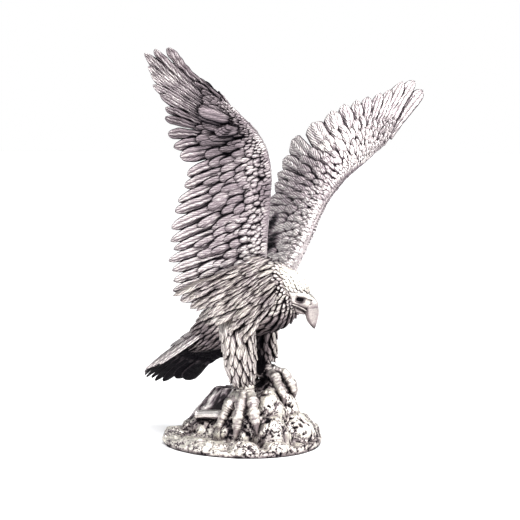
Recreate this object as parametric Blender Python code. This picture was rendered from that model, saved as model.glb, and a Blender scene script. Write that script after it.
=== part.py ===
"""An eagle alighting on a rock with both wings raised, cast in one piece and silver plated.

The eagle faces +X, its left wing is towards +Y, and the origin is the middle of the flat underside.
The wings, tail, body, legs, toes and rock are closed shapes that overlap where they grow out of each
other, and one Boolean union makes them the single casting.
"""
import math

import bmesh
import bpy
import numpy as np
from mathutils import Matrix, Vector

# Overall size, in metres. The tables are drawn in millimetres, for a statue 375 mm tall.
STATUE_HEIGHT = 0.380
DRAWN_HEIGHT = 375.0
UNIT = STATUE_HEIGHT / DRAWN_HEIGHT

# The rock
ROCK_RADIUS = 0.077
ROCK_WAVE = 0.0055
RIM_HEIGHT = 0.0075
RIM_LEAN = 0.0025
ROCK_SPOKES = 34
ROCK_CIRCLES = 9
LOG_RADIUS = 0.0044

# Feathers of the wings and the tail
FLIGHT_FEATHERS = 21
TAIL_FEATHERS = 9
VANE_THICKNESS = 0.0030
WING_ARM_THICKNESS = 0.0125
WING_HAND_THICKNESS = 0.0060
TAIL_ROOT_THICKNESS = 0.0080
SHINGLE = 0.0013
COVERT_STEP = 0.0012
WING_CAMBER = 0.055
TAIL_CAMBER = 0.03

# Feathers of the body
BODY_ROWS = 9
BODY_FEATHERS_ROUND = 11
BODY_LIP = 0.0016
BODY_SCALLOP = 0.0045
THIGH_ROWS = 4
THIGH_FEATHERS_ROUND = 7
THIGH_LIP = 0.0016
THIGH_SCALLOP = 0.0040

# Feet
TOE_RADIUS = 0.0047
TOE_SIDES = 5
TALON_RADIUS = 0.0022
TALON_POINT = 0.0006

# Head
HEAD_YAW = math.radians(20)
HEAD_PLACE = (51.0, 0.0)
HEAD_SIDES = 12
BEAK_SIDES = 10

SILVER = (0.80, 0.79, 0.78, 1.0)
SILVER_ROUGHNESS = 0.32

# Wing tables: where each feather line starts at the leading edge, and where it ends at the tip,
# from the shoulder to the outermost primary, evenly spaced by feather.
RIGHT_WING_ROOTS = (
    (30, -12, 150), (41, -22, 176), (46, -27, 204), (50, -29, 233), (54, -33, 262), (52, -38, 284),
    (47, -45, 298), (42, -52, 307), (37, -60, 315), (30, -70, 325), (25, -77, 331),
)
RIGHT_WING_TIPS = (
    (-28, -42, 130), (-46, -50, 147), (-47, -55, 173), (-42, -59, 200), (-35, -63, 230), (-21, -65, 262),
    (-27, -84, 294), (-15, -104, 322), (-21, -116, 346), (-22, -121, 366), (3, -119, 376),
)
LEFT_WING_ROOTS = (
    (40, 16, 156), (48, 40, 190), (49, 62, 216), (48, 84, 234), (50, 106, 249), (51, 125, 258),
    (54, 140, 265), (56, 153, 272), (59, 165, 280), (63, 175, 287), (65, 182, 291),
)
LEFT_WING_TIPS = (
    (-30, 42, 140), (-31, 70, 184), (-30, 96, 228), (-28, 120, 263), (-11, 138, 302), (11, 157, 324),
    (28, 176, 335), (44, 192, 340), (57, 208, 349), (69, 224, 358), (82, 239, 346),
)
TAIL_ROOTS = ((-36, -13, 105), (-40, -8, 107), (-42, -2, 106), (-40, 5, 101), (-36, 11, 94), (-28, 15, 85))
TAIL_TIPS = (
    (-90, -25, 67), (-104, -18, 62), (-113, -8, 55), (-115, 4, 48), (-105, 17, 45), (-78, 27, 50),
)
# How far each wing feather's edges fall short of its tip, from the shoulder outwards
WING_NOTCH = (0.05, 0.05, 0.06, 0.07, 0.08, 0.10, 0.15, 0.13, 0.11, 0.10, 0.10)
TAIL_NOTCH = (0.05, 0.05, 0.05, 0.07, 0.10, 0.12)

# Body stations along the back: x, z, half width, half depth
TORSO = (
    (56, 155, 18, 18), (46, 151, 26, 26), (30, 143, 32, 32), (2, 130, 30, 28), (-24, 112, 23, 21),
    (-44, 99, 16, 14), (-60, 90, 9, 7),
)
# Head stations, measured forward of the neck and up: forward, z, half width, half depth
HEAD = (
    (-14, 161, 10, 10), (-6, 158, 14, 14), (2, 153, 15, 15), (9, 147, 14, 13.5), (15, 142, 11.5, 10),
    (20, 139, 8.5, 7.5),
)
BEAK = (
    (12, 141, 8, 8.5), (18, 139.5, 6.8, 7.6), (23, 136, 5.4, 6.6), (26.2, 130.5, 4.0, 4.9),
    (27, 124.5, 2.8, 3.4), (26, 119.5, 1.5, 1.9), (24.3, 115.8, 0.5, 0.5),
)
LOWER_BEAK = ((8, 135, 6, 4.5), (13, 131.5, 4.6, 3.6), (18, 127.5, 2.8, 2.4), (20.5, 125, 1.2, 1.2))
# The brow ridge over each eye: forward, out to the side, z, thickness
BROW = ((2, 11.5, 152, 2.4), (9, 13.0, 149, 3.4), (17, 10.0, 145, 3.0), (25, 4.5, 142, 1.4))
# Leg stations: x, y, z, half length fore and aft, half width
RIGHT_THIGH = (
    (7, -18, 132, 17, 12), (9, -24, 112, 18, 14), (12, -26, 92, 17, 13), (14, -26, 76, 15, 12),
    (16, -25, 63, 11, 10),
)
LEFT_THIGH = (
    (6, 16, 134, 15, 11), (8, 21, 116, 15, 12), (10, 22, 100, 13, 11.5), (12, 22, 87, 10.5, 10),
    (14, 22, 78, 8, 8),
)
RIGHT_SHANK = ((14, -25, 72, 8, 7.5), (19, -24, 60, 9.0, 8), (20, -24.5, 52, 9.5, 8.5), (20, -25, 44, 10.5, 9.5))
LEFT_SHANK = ((12, 22, 84, 6, 6), (14, 22, 74, 6, 6), (16, 22, 67, 8, 7.5), (16, 23, 60, 9, 9))
# Toes: points from the ankle to the last joint, then the point of the talon
TOES = {
    "right_rear": ((16, -20, 47), (5, -16, 46), (-5, -14, 39), (-10, -13, 31), (-11, -13, 22)),
    "right_outer": ((17, -27, 49), (9, -34, 42), (4, -38, 31), (2, -41, 20), (2, -43, 9)),
    "right_middle": ((21, -28, 50), (24, -38, 45), (25, -45, 34), (25, -48, 22), (24, -50, 10)),
    "right_inner": ((24, -25, 51), (33, -34, 47), (39, -40, 38), (43, -43, 28), (45, -44, 18)),
    "left_inner": ((17, 20, 65), (27, 16, 62), (35, 14, 52), (39, 13, 43), (39, 12, 33)),
    "left_middle": ((18, 24, 66), (30, 28, 64), (38, 30, 55), (41, 30, 46), (40, 29, 36)),
    "left_outer": ((16, 26, 67), (24, 37, 62), (30, 43, 53), (32, 46, 44), (31, 46, 34)),
    "left_rear": ((13, 22, 64), (2, 22, 63), (-7, 22, 55), (-11, 22, 46), (-11, 22, 36)),
}
# Boulders of the rock: x, y, half length, half width, top
BOULDERS = (
    (15, 25, 36, 31, 61), (14, -15, 32, 32, 46), (33, -7, 20, 20, 56), (50, -26, 19, 18, 34),
    (50, 14, 24, 28, 30), (-30, -8, 34, 28, 25), (-24, 20, 28, 26, 40), (60, -36, 15, 14, 15),
    (-56, -30, 17, 13, 13), (0, -60, 30, 14, 12), (36, -56, 18, 13, 14), (-8, 58, 34, 20, 24),
    (50, 44, 18, 16, 14), (-52, 36, 24, 22, 20),
)
BOULDER_FULLNESS = 2.6
LEDGE_TOP = ((-34, 0, 49), (-6, -7, 51), (-4, 22, 51), (-28, 26, 48))
LEDGE_FOOT = ((-59, -7, 17), (-10, -12, 20), (-6, 28, 20), (-52, 28, 15))
LOG_ENDS = ((-43, -23, 25), (-10, -22, 28))


def clear_scene():
    for thing in list(bpy.data.objects):
        bpy.data.objects.remove(thing)


def through(points, places):
    """A smooth curve (Catmull-Rom) through the rows of points, read at places from 0 to 1."""
    rows = np.asarray(points, float)
    padded = np.vstack([2 * rows[0] - rows[1], rows, 2 * rows[-1] - rows[-2]])
    spot = np.clip(np.asarray(places, float), 0, 1) * (len(rows) - 1)
    start = np.minimum(spot.astype(int), len(rows) - 2)
    t = (spot - start)[:, None]
    a, b, c, d = (padded[start + step] for step in range(4))
    return 0.5 * (2 * b + (c - a) * t + (2 * a - 5 * b + 4 * c - d) * t**2 + (3 * b - a - 3 * c + d) * t**3)


def unit(vectors):
    return vectors / np.maximum(np.linalg.norm(vectors, axis=-1, keepdims=True), 1e-12)


def skin(name, rings, flat_ends=False):
    """A closed mesh over a stack of rings. An end is a fan to its middle, or, on a flat plate whose
    ring runs down one face and back up the other, a strip between the two faces."""
    rings = np.asarray(rings, float)
    count, around = rings.shape[:2]
    form = bmesh.new()
    rows = [[form.verts.new(point) for point in ring] for ring in rings]
    for low, high in zip(rows, rows[1:]):
        for k in range(around):
            form.faces.new((low[k], low[(k + 1) % around], high[(k + 1) % around], high[k]))
    for row in (rows[0], rows[-1]):
        if flat_ends:
            for k in range(around // 2 - 1):
                form.faces.new((row[k], row[k + 1], row[around - 2 - k], row[around - 1 - k]))
        else:
            middle = form.verts.new(np.mean([vert.co for vert in row], axis=0))
            for k in range(around):
                form.faces.new((row[k], row[(k + 1) % around], middle))
    bmesh.ops.recalc_face_normals(form, faces=form.faces)
    return finished(name, form)


def finished(name, form):
    bmesh.ops.triangulate(form, faces=form.faces)
    mesh = bpy.data.meshes.new(name)
    form.to_mesh(mesh)
    form.free()
    return bpy.data.objects.new(name, mesh)


def crest(share):
    """1 in the middle of a feather's width and 0 at its two edges."""
    return 1 - np.abs(2 * share - 1) ** 2.4


def feather_plate(name, roots, tips, notch, count, camber, root_thickness, tip_thickness, covert_rows):
    """A wing or tail: feathers side by side, each tilted so that its edge steps over the next, under
    rows of coverts on both faces. Every feather has four lines from its root to its tip."""
    edge = 0.02
    shares = np.tile((edge, 0.3, 0.7, 1 - edge), count)
    lines = (np.repeat(np.arange(count), 4) + shares) / count
    root = through(roots, lines) * UNIT
    tip = through(tips, lines) * UNIT
    notches = np.interp(lines, np.linspace(0, 1, len(notch)), notch)
    middle = (root + tip) / 2
    face = unit(np.cross(np.gradient(middle, lines, axis=0), tip - root))
    thick = root_thickness + (tip_thickness - root_thickness) * lines
    reach = np.linalg.norm(tip - root, axis=1)

    rows = [(0.0, 0.35, 0.0), (0.07, 1.0, 0.0)]
    for place in covert_rows:
        rows += [(place, None, 1.0), (place + 0.02, None, 0.0)]
    rows.append((1.0, None, 0.0))
    front, back = [], []
    for place, share_of_arm, raised in rows:
        along = place + 0.05 * crest(shares) if 0.07 < place < 1 else np.full(len(lines), place)
        if place == 1.0:
            along = 1 - notches * (1 - crest(shares))
        body = np.maximum(thick * (1 - along / 0.62), VANE_THICKNESS) if share_of_arm is None else thick * share_of_arm
        height = body / 2 + COVERT_STEP * raised * (1 + (1 - place))
        bow = -camber * 4 * along * (1 - along) * reach
        tilt = SHINGLE * (shares - 0.5) * min(1, along.mean() / 0.3)
        point = root + (tip - root) * along[:, None]
        front.append(point + face * (bow + tilt + height)[:, None])
        back.append(point + face * (bow + tilt - height)[:, None])
    return skin(name, np.stack(front + back[::-1], axis=1), flat_ends=True)


def scalloped_rings(centre, side, rise, half_width, half_depth, rows, round_count, lip, scallop):
    """Rings along a rounded body, the way its feathers lie. Each row of feathers is a ring that lifts
    to a lip and a ring that drops behind it, and every second point of a row is drawn on as a tip."""
    around = 2 * round_count
    angle = 2 * math.pi * np.arange(around) / around
    along = unit(np.gradient(centre, axis=0))
    rings = []
    for k in range(len(centre)):
        lifted = 0 < k < len(centre) - 1 and k % 2 == 1
        tip = (np.arange(around) + (k - 1) // 2) % 2 == 0
        swell = lip if lifted else 0.0
        ring = (
            centre[k]
            + np.outer(np.cos(angle) * (half_width[k] + swell), side[k])
            + np.outer(np.sin(angle) * (half_depth[k] + swell), rise[k])
        )
        if 0 < k < len(centre) - 1:
            ring = ring + np.outer(tip * scallop, along[k])
        rings.append(ring)
    return np.array(rings)


def row_places(rows):
    """Places along a feathered body: one end, then a lip and a drop for each row, then the other end."""
    step = 1 / (rows + 1)
    places = [0.0]
    for row in range(rows):
        places += [step * (row + 0.72), step * (row + 0.98)]
    return np.array(places + [1.0])


def torso():
    line = through(TORSO, row_places(BODY_ROWS)) * UNIT
    centre = np.stack([line[:, 0], np.zeros(len(line)), line[:, 1]], axis=1)
    along = unit(np.gradient(centre, axis=0))
    side = np.tile((0.0, 1.0, 0.0), (len(line), 1))
    rise = np.cross(along, side)
    rings = scalloped_rings(
        centre, side, rise, line[:, 2], line[:, 3], BODY_ROWS, BODY_FEATHERS_ROUND, BODY_LIP, BODY_SCALLOP
    )
    return skin("torso", rings)


def on_neck(forward, height):
    """Head points from their distance forward of the neck, turned by the head's yaw."""
    x = HEAD_PLACE[0] + forward * math.cos(HEAD_YAW)
    y = HEAD_PLACE[1] + forward * math.sin(HEAD_YAW)
    return np.stack([x, y, height], axis=1) * UNIT


def head_form(name, table, count, sides):
    line = through(table, np.linspace(0, 1, count))
    centre = on_neck(line[:, 0], line[:, 1])
    side = np.array((-math.sin(HEAD_YAW), math.cos(HEAD_YAW), 0.0))
    rise = np.cross(unit(np.gradient(centre, axis=0)), side)
    angle = 2 * math.pi * np.arange(sides) / sides
    rings = [
        centre[k]
        + np.outer(np.cos(angle) * line[k, 2] * UNIT, side)
        + np.outer(np.sin(angle) * line[k, 3] * UNIT, rise[k])
        for k in range(count)
    ]
    return skin(name, rings)


def brow(name, turned):
    """The ridge over one eye; turned is 1 on the left side and -1 on the right."""
    line = through(BROW, np.linspace(0, 1, 5))
    centre = on_neck(line[:, 0], line[:, 2])
    side = np.array((-math.sin(HEAD_YAW), math.cos(HEAD_YAW), 0.0))
    centre = centre + np.outer(line[:, 1] * UNIT * turned, side)
    return tube(name, centre, line[:, 3] * UNIT, TOE_SIDES)


def tube(name, centre, radius, sides):
    along = unit(np.gradient(centre, axis=0))
    side = unit(np.cross(along, (0.0, 0.0, 1.0)) + 1e-6)
    rise = np.cross(side, along)
    angle = 2 * math.pi * np.arange(sides) / sides
    rings = [
        centre[k] + radius[k] * (np.outer(np.cos(angle), side[k]) + np.outer(np.sin(angle), rise[k]))
        for k in range(len(centre))
    ]
    return skin(name, rings)


def thigh(name, table):
    places = row_places(THIGH_ROWS)
    line = through(table, places) * UNIT
    side = np.tile((1.0, 0.0, 0.0), (len(line), 1))
    rise = np.tile((0.0, 1.0, 0.0), (len(line), 1))
    rings = scalloped_rings(
        line[:, :3], side, rise, line[:, 3], line[:, 4], THIGH_ROWS, THIGH_FEATHERS_ROUND,
        THIGH_LIP, THIGH_SCALLOP,
    )
    return skin(name, rings)


def shank(name, table):
    line = through(table, np.linspace(0, 1, 5)) * UNIT
    angle = 2 * math.pi * np.arange(TOE_SIDES + 1) / (TOE_SIDES + 1)
    rings = [
        row[:3] + np.stack([np.cos(angle) * row[3], np.sin(angle) * row[4], np.zeros(len(angle))], axis=1)
        for row in line
    ]
    return skin(name, rings)


def toe(name, points):
    """A toe with two swollen joints that ends in a curved talon."""
    share = np.linspace(0, 1, 8)
    centre = through(points, share) * UNIT
    swell = 1 + 0.13 * np.cos(share * 4 * math.pi)
    radius = np.where(
        share < 0.74,
        TOE_RADIUS * (1.08 - 0.42 * share) * swell,
        np.interp(share, (0.74, 1), (TALON_RADIUS, TALON_POINT)),
    )
    return tube(name, centre, radius, TOE_SIDES)


def rock_height(x, y):
    """The tallest of the boulders over a point, each a full dome, and never below the rim."""
    height = np.full(np.shape(x), RIM_HEIGHT)
    for place_x, place_y, half_length, half_width, top in np.array(BOULDERS) * UNIT:
        away = np.sqrt(((x - place_x) / half_length) ** 2 + ((y - place_y) / half_width) ** 2)
        dome = np.maximum(0, 1 - away**BOULDER_FULLNESS) ** 0.6
        height = np.maximum(height, RIM_HEIGHT * 0.8 + (top - RIM_HEIGHT) * dome)
    return height


def rim(angle):
    return ROCK_RADIUS + ROCK_WAVE * (np.cos(angle + 0.55) - 0.45 * np.sin(3 * angle - 0.37))


def rock():
    angle = 2 * math.pi * np.arange(ROCK_SPOKES) / ROCK_SPOKES
    heading = np.stack([np.cos(angle), np.sin(angle)], axis=1)
    rings = []
    for share in np.linspace(1, 1 / ROCK_CIRCLES, ROCK_CIRCLES):
        flat = heading * (rim(angle) * share - RIM_LEAN * (share == 1))[:, None]
        rings.append(np.column_stack([flat, rock_height(flat[:, 0], flat[:, 1])]))
    foot = np.column_stack([heading * rim(angle)[:, None], np.zeros(ROCK_SPOKES)])
    waist = np.column_stack([heading * (rim(angle) + RIM_LEAN * 0.4)[:, None], np.full(ROCK_SPOKES, RIM_HEIGHT / 2)])
    form = skin("rock", [foot, waist] + rings)
    form.data.vertices[len(form.data.vertices) - 2].co = (0, 0, 0)
    form.data.vertices[len(form.data.vertices) - 1].co.z = rock_height(0.0, 0.0)
    return form


def ledge():
    corners = [np.array(ring, float) * UNIT for ring in (LEDGE_FOOT, LEDGE_TOP)]
    return skin("ledge", corners)


def fallen_log():
    ends = [Vector(end) * UNIT for end in LOG_ENDS]
    form = bmesh.new()
    bmesh.ops.create_cone(
        form, cap_ends=True, segments=10, radius1=LOG_RADIUS, radius2=LOG_RADIUS, depth=(ends[1] - ends[0]).length
    )
    turn = (ends[1] - ends[0]).to_track_quat("Z", "Y").to_matrix().to_4x4()
    bmesh.ops.transform(form, matrix=Matrix.Translation((ends[0] + ends[1]) / 2) @ turn, verts=form.verts)
    return finished("log", form)


def silver():
    material = bpy.data.materials.new("antique_silver_plate")
    material.use_nodes = True
    shader = material.node_tree.nodes["Principled BSDF"]
    shader.inputs["Base Color"].default_value = SILVER
    shader.inputs["Metallic"].default_value = 1.0
    shader.inputs["Roughness"].default_value = SILVER_ROUGHNESS
    return material


def wing(name, roots, tips, hollow_side):
    """One wing. Its under side is the hollow one: hollow_side is 1 where that is the face which the
    feather lines turn towards (the right wing), and -1 where it is the other (the left wing)."""
    return feather_plate(
        name, roots, tips, WING_NOTCH, FLIGHT_FEATHERS, WING_CAMBER * hollow_side, WING_ARM_THICKNESS,
        WING_HAND_THICKNESS, (0.30, 0.55),
    )


def tail():
    return feather_plate(
        "tail", TAIL_ROOTS, TAIL_TIPS, TAIL_NOTCH, TAIL_FEATHERS, TAIL_CAMBER, TAIL_ROOT_THICKNESS,
        TAIL_ROOT_THICKNESS, (0.42,),
    )


def main():
    clear_scene()
    joined = [
        torso(),
        head_form("head", HEAD, 7, HEAD_SIDES),
        head_form("beak", BEAK, 8, BEAK_SIDES),
        head_form("lower_beak", LOWER_BEAK, 4, BEAK_SIDES),
        brow("right_brow", -1),
        brow("left_brow", 1),
        wing("right_wing", RIGHT_WING_ROOTS, RIGHT_WING_TIPS, 1),
        wing("left_wing", LEFT_WING_ROOTS, LEFT_WING_TIPS, -1),
        tail(),
        thigh("right_thigh", RIGHT_THIGH),
        thigh("left_thigh", LEFT_THIGH),
        shank("right_shank", RIGHT_SHANK),
        shank("left_shank", LEFT_SHANK),
        ledge(),
        fallen_log(),
    ]
    joined += [toe(name, points) for name, points in TOES.items()]
    helpers = bpy.data.collections.new("cast_together")
    bpy.context.scene.collection.children.link(helpers)
    for piece in joined:
        helpers.objects.link(piece)
        piece.hide_render = True
        piece.display_type = "WIRE"

    statue = rock()
    statue.name = "eagle_statue"
    statue.data.materials.append(silver())
    bpy.context.scene.collection.objects.link(statue)
    union = statue.modifiers.new("cast as one", "BOOLEAN")
    union.operation = "UNION"
    union.operand_type = "COLLECTION"
    union.collection = helpers
    union.solver = "EXACT"


main()
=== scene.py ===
# %% [markdown]
# # A silver-plated eagle, one feather at a time
#
# The real object is a table statue: an eagle that has just touched down on a rock, wings still up.
# A sculptor modelled it in wax, every feather pressed in by hand. It was cast in one piece, plated
# with silver, and then darkened: black oxide was left in the hollows and rubbed off the high places.
#
# We build it the way the sculptor did. First a smooth body form, then row upon row of feathers laid
# over it like roof tiles, each row covering the roots of the one before.

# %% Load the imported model, and keep its box
import math
from functools import partial

import bpy
import numpy as np
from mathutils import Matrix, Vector


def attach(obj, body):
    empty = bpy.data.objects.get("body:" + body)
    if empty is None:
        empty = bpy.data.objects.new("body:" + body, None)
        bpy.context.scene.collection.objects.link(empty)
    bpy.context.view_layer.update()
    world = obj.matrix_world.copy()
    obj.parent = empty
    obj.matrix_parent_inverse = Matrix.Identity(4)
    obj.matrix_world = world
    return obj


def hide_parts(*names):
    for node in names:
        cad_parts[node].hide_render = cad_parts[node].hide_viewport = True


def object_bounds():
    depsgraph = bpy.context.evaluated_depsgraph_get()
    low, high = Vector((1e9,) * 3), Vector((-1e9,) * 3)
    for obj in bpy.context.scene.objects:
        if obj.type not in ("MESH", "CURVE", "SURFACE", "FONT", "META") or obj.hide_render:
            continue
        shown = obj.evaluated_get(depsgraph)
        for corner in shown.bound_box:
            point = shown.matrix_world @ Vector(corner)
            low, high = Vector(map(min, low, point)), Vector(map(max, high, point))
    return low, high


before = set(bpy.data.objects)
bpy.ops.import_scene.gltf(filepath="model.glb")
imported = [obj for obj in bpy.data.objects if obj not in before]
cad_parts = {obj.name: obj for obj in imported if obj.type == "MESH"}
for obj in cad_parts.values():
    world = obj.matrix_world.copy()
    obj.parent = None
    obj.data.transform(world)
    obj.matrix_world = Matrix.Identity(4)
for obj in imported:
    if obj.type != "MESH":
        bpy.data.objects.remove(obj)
solid_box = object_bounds()
STATUE_HEIGHT = solid_box[1].z
UNIT = STATUE_HEIGHT / 375.0
print(f"the statue is {STATUE_HEIGHT * 1000:.0f} mm tall; one table unit is {UNIT * 1000:.4f} mm")

# %% [markdown]
# ## Curves and surfaces as plain functions
#
# Nearly everything here is a surface P(u, v): two numbers go in and a point in space comes out. Numpy
# works the formula out for a whole grid at once, so there is no loop over single points. A handful of
# chosen points becomes a smooth line with a Catmull-Rom curve, which passes through each of them.

# %% A smooth curve, and unit vectors


def through(points, places):
    """Catmull-Rom curve: between two points it is the cubic whose slope at each point is half the
    step from the point before to the point after. places run from 0 to 1 and may be any shape."""
    rows = np.asarray(points, float)
    rows = rows[:, None] if rows.ndim == 1 else rows
    padded = np.vstack([2 * rows[0] - rows[1], rows, 2 * rows[-1] - rows[-2]])
    spot = np.clip(np.asarray(places, float), 0, 1) * (len(rows) - 1)
    start = np.minimum(spot.astype(int), len(rows) - 2)
    t = (spot - start)[..., None]
    a, b, c, d = (padded[start + step] for step in range(4))
    bend, twist = 2 * a - 5 * b + 4 * c - d, 3 * b - a - 3 * c + d
    return 0.5 * (2 * b + (c - a) * t + bend * t**2 + twist * t**3)


def unit(vectors):
    """Each vector divided by its own length."""
    return vectors / np.maximum(np.linalg.norm(vectors, axis=-1, keepdims=True), 1e-12)


def blend(share, low, high):
    """0 below low, 1 above high, and the smooth step 3t^2 - 2t^3 in between."""
    t = np.clip((share - low) / (high - low), 0, 1)
    return t * t * (3 - 2 * t)


def grids(u, v):
    """u and v as two arrays of one shape."""
    return np.broadcast_arrays(np.asarray(u, float), np.asarray(v, float))


def full_turn(count):
    """Angles spread evenly round a circle."""
    return np.linspace(0, 2 * math.pi, count, endpoint=False)


def slowing(count, power):
    """Steps from 0 to 1 that get shorter towards the end: 1 - (1 - t)^power."""
    return 1 - (1 - np.linspace(0, 1, count)) ** power


print("a quarter of the way along 0, 1, 4:", through([0, 1, 4], np.array([0.25])).ravel())

# %% [markdown]
# ## Noise, for rock and for small accidents of the hand
#
# Value noise gives each corner of an invisible lattice its own random number and blends smoothly
# between corners. Cell noise scatters one point in each lattice cell and measures the distance to the
# nearest, which is what pits and pebbles look like. Both come from a whole-number hash, so the
# same place always gets the same number.

# %% Two kinds of noise


def scatter(cells, seed):
    """A number from 0 to 1 for each whole-number cell: multiply, mix the bits, keep the low ones."""
    x, y, z = (cells[..., k].astype(np.int64) for k in range(3))
    mixed = x * 73856093 ^ y * 19349663 ^ z * 83492791 ^ (seed * 2654435761)
    mixed = (mixed ^ (mixed >> 13)) * 1274126177 & 0x7FFFFFFF
    return ((mixed ^ (mixed >> 16)) & 0xFFFF) / 65535.0


def value_noise(points, size, seed):
    """Smooth noise from -1 to 1: the eight corner numbers of each cell, mixed by 3t^2 - 2t^3."""
    spot = np.asarray(points) / size
    cell = np.floor(spot)
    t = spot - cell
    t = t * t * (3 - 2 * t)
    total = 0.0
    for corner in np.ndindex(2, 2, 2):
        weight = np.prod(np.where(np.array(corner) == 1, t, 1 - t), axis=-1)
        total = total + weight * scatter(cell + np.array(corner), seed)
    return total * 2 - 1


def rough_noise(points, size, seed, octaves=4):
    """Value noise added up at size, half the size, a quarter and so on, each half as strong."""
    return sum(value_noise(points, size / 2**k, seed + k) / 2**k for k in range(octaves))


def vector_noise(points, size, seed):
    """Three value noises of one size, one for each direction."""
    return np.stack([value_noise(points, size, seed + k) for k in range(3)], axis=-1)


def cell_noise(points, size, seed):
    """Distance to the nearest scattered point, in cell sizes, and that point's own random number."""
    spot = np.asarray(points) / size
    cell = np.floor(spot)
    nearest = np.full(spot.shape[:-1], 9.0)
    own = np.zeros(spot.shape[:-1])
    for step in np.ndindex(3, 3, 3):
        near = cell + np.array(step) - 1
        place = near + np.stack([scatter(near, seed + k) for k in (0, 1, 2)], axis=-1)
        away = np.linalg.norm(place - spot, axis=-1)
        closer = away < nearest
        nearest = np.where(closer, away, nearest)
        own = np.where(closer, scatter(near, seed + 3), own)
    return nearest, own


random = np.random.default_rng(7)
print("value noise at the origin:", value_noise(np.zeros((1, 3)), 1.0, 1))

# %% [markdown]
# ## Painted shade and painted highlights
#
# Light and shade are painted into the finish as well as oxide: a table of soft ellipsoids darkens the
# places that lie in shade, between the legs, low on the breast, deep between the wings, under the
# ledge. A negative strength paints a highlight on a place that catches the light.

# %% The table of painted shade and painted highlights
SHADE_AND_HIGHLIGHT_SPOTS = (
    # on the head: painted shade in the eye sockets under the brow, at the gape and on the beak, and a painted
    # highlight on the crown
    (69.5, -5, 142.8, 7.5, 5, 4.4, 0.85), (61.5, 15, 143.5, 6, 5, 3.4, 0.85),
    (70, -4, 137.6, 6, 6, 3.2, 0.35), (82, 7, 130, 9, 9, 16, 0.10), (60, 3, 166, 24, 26, 15, -1.50),
    # on the body: painted shade low on the breast, between and behind the legs, and painted highlights on the
    # flank and shoulder
    (46, 0, 115, 26, 34, 21, 0.74), (10, 6, 96, 26, 15, 38, 0.95), (-30, -14, 101, 30, 26, 20, 0.45),
    (14, 24, 92, 20, 10, 22, 0.45), (-50, 6, 84, 30, 24, 14, 0.75), (-30, -22, 114, 24, 20, 20, 0.25),
    (-20, 8, 78, 40, 30, 14, 0.50), (14, 8, 68, 10, 12, 17, 0.90), (7, 12, 78, 12, 11, 18, 0.85),
    (17, 7, 55, 13, 13, 10, 0.80), (44, -34, 172, 26, 18, 26, -1.20), (8, -46, 136, 52, 22, 36, -0.90),
    (16, -30, 100, 20, 14, 44, -0.30), (-66, -25, 86, 46, 8, 36, -0.90),
    # on the wings: painted shade at their roots deep between the wings, on the right one's front edge and
    # hand, and on the left one's tip and inner half
    (-9, 65, 208, 13, 14, 17, 0.90), (3, 48, 190, 15, 14, 17, 0.90), (50, -30, 184, 8, 7, 8, 0.70),
    (50, -19, 206, 13, 9, 36, 0.85), (52, -32, 245, 14, 16, 70, 0.26), (20, -46, 245, 60, 30, 96, 0.33),
    (10, -76, 318, 52, 52, 52, 0.40), (60, 200, 325, 60, 60, 70, 0.22), (24, 105, 236, 60, 60, 60, 0.40),
    # on the rock: painted shade under the log and between the toes, and a painted highlight on the rim
    (-28, -25, 15, 18, 8, 7, 0.90), (-10, -38, 60, 20, 16, 20, 0.30), (30, -42, 26, 6, 5, 10, 0.50),
    (12, -40, 22, 6, 5, 9, 0.50), (44, -33, 33, 9, 9, 9, 0.60), (11, -46, 13, 16, 5, 5, 0.45),
    (60, -10, 20, 44, 60, 34, 0.10), (-10, -55, 6, 70, 30, 14, -0.45), (-48, -44, 10, 34, 24, 16, -0.40),
)


def painted_shade_and_highlights(points):
    """Painted shade at each point, and painted highlight where it is negative: the sum of strength * (1 -
    d^2)^0.7 over the ellipsoids, where d is the distance from the middle in radii."""
    total = np.zeros(len(points))
    for x, y, z, wide, deep, high, strength in SHADE_AND_HIGHLIGHT_SPOTS:
        away = (((points / UNIT - (x, y, z)) / (wide, deep, high)) ** 2).sum(axis=1)
        total += strength * np.clip(1 - away, 0, 1) ** 0.7
    return total


def by_hand(points):
    """Nothing cut in wax is perfectly even: each point moves a little by two sizes of noise."""
    return 0.00022 * vector_noise(points, 0.0042, 90) + 0.00045 * vector_noise(points, 0.013, 95)


# Prints the painted shade between the legs.
print("tarnish between the legs:", painted_shade_and_highlights(np.array([[0.010, 0.0, 0.10]])))

# %% [markdown]
# ## From numbers to a mesh
#
# A closed form is a stack of rings. Each ring joins the next with four-sided faces, and the
# first and last rings are closed with one face. Many such forms go into one mesh, so that a wing is one
# piece with hundreds of feathers. Each point also carries three numbers that the finish reads: how
# dark it is made, by oxide, painted shade and painted highlights, and how far along and across its feather it
# lies.

# %% Collect forms and make one mesh of them


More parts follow.
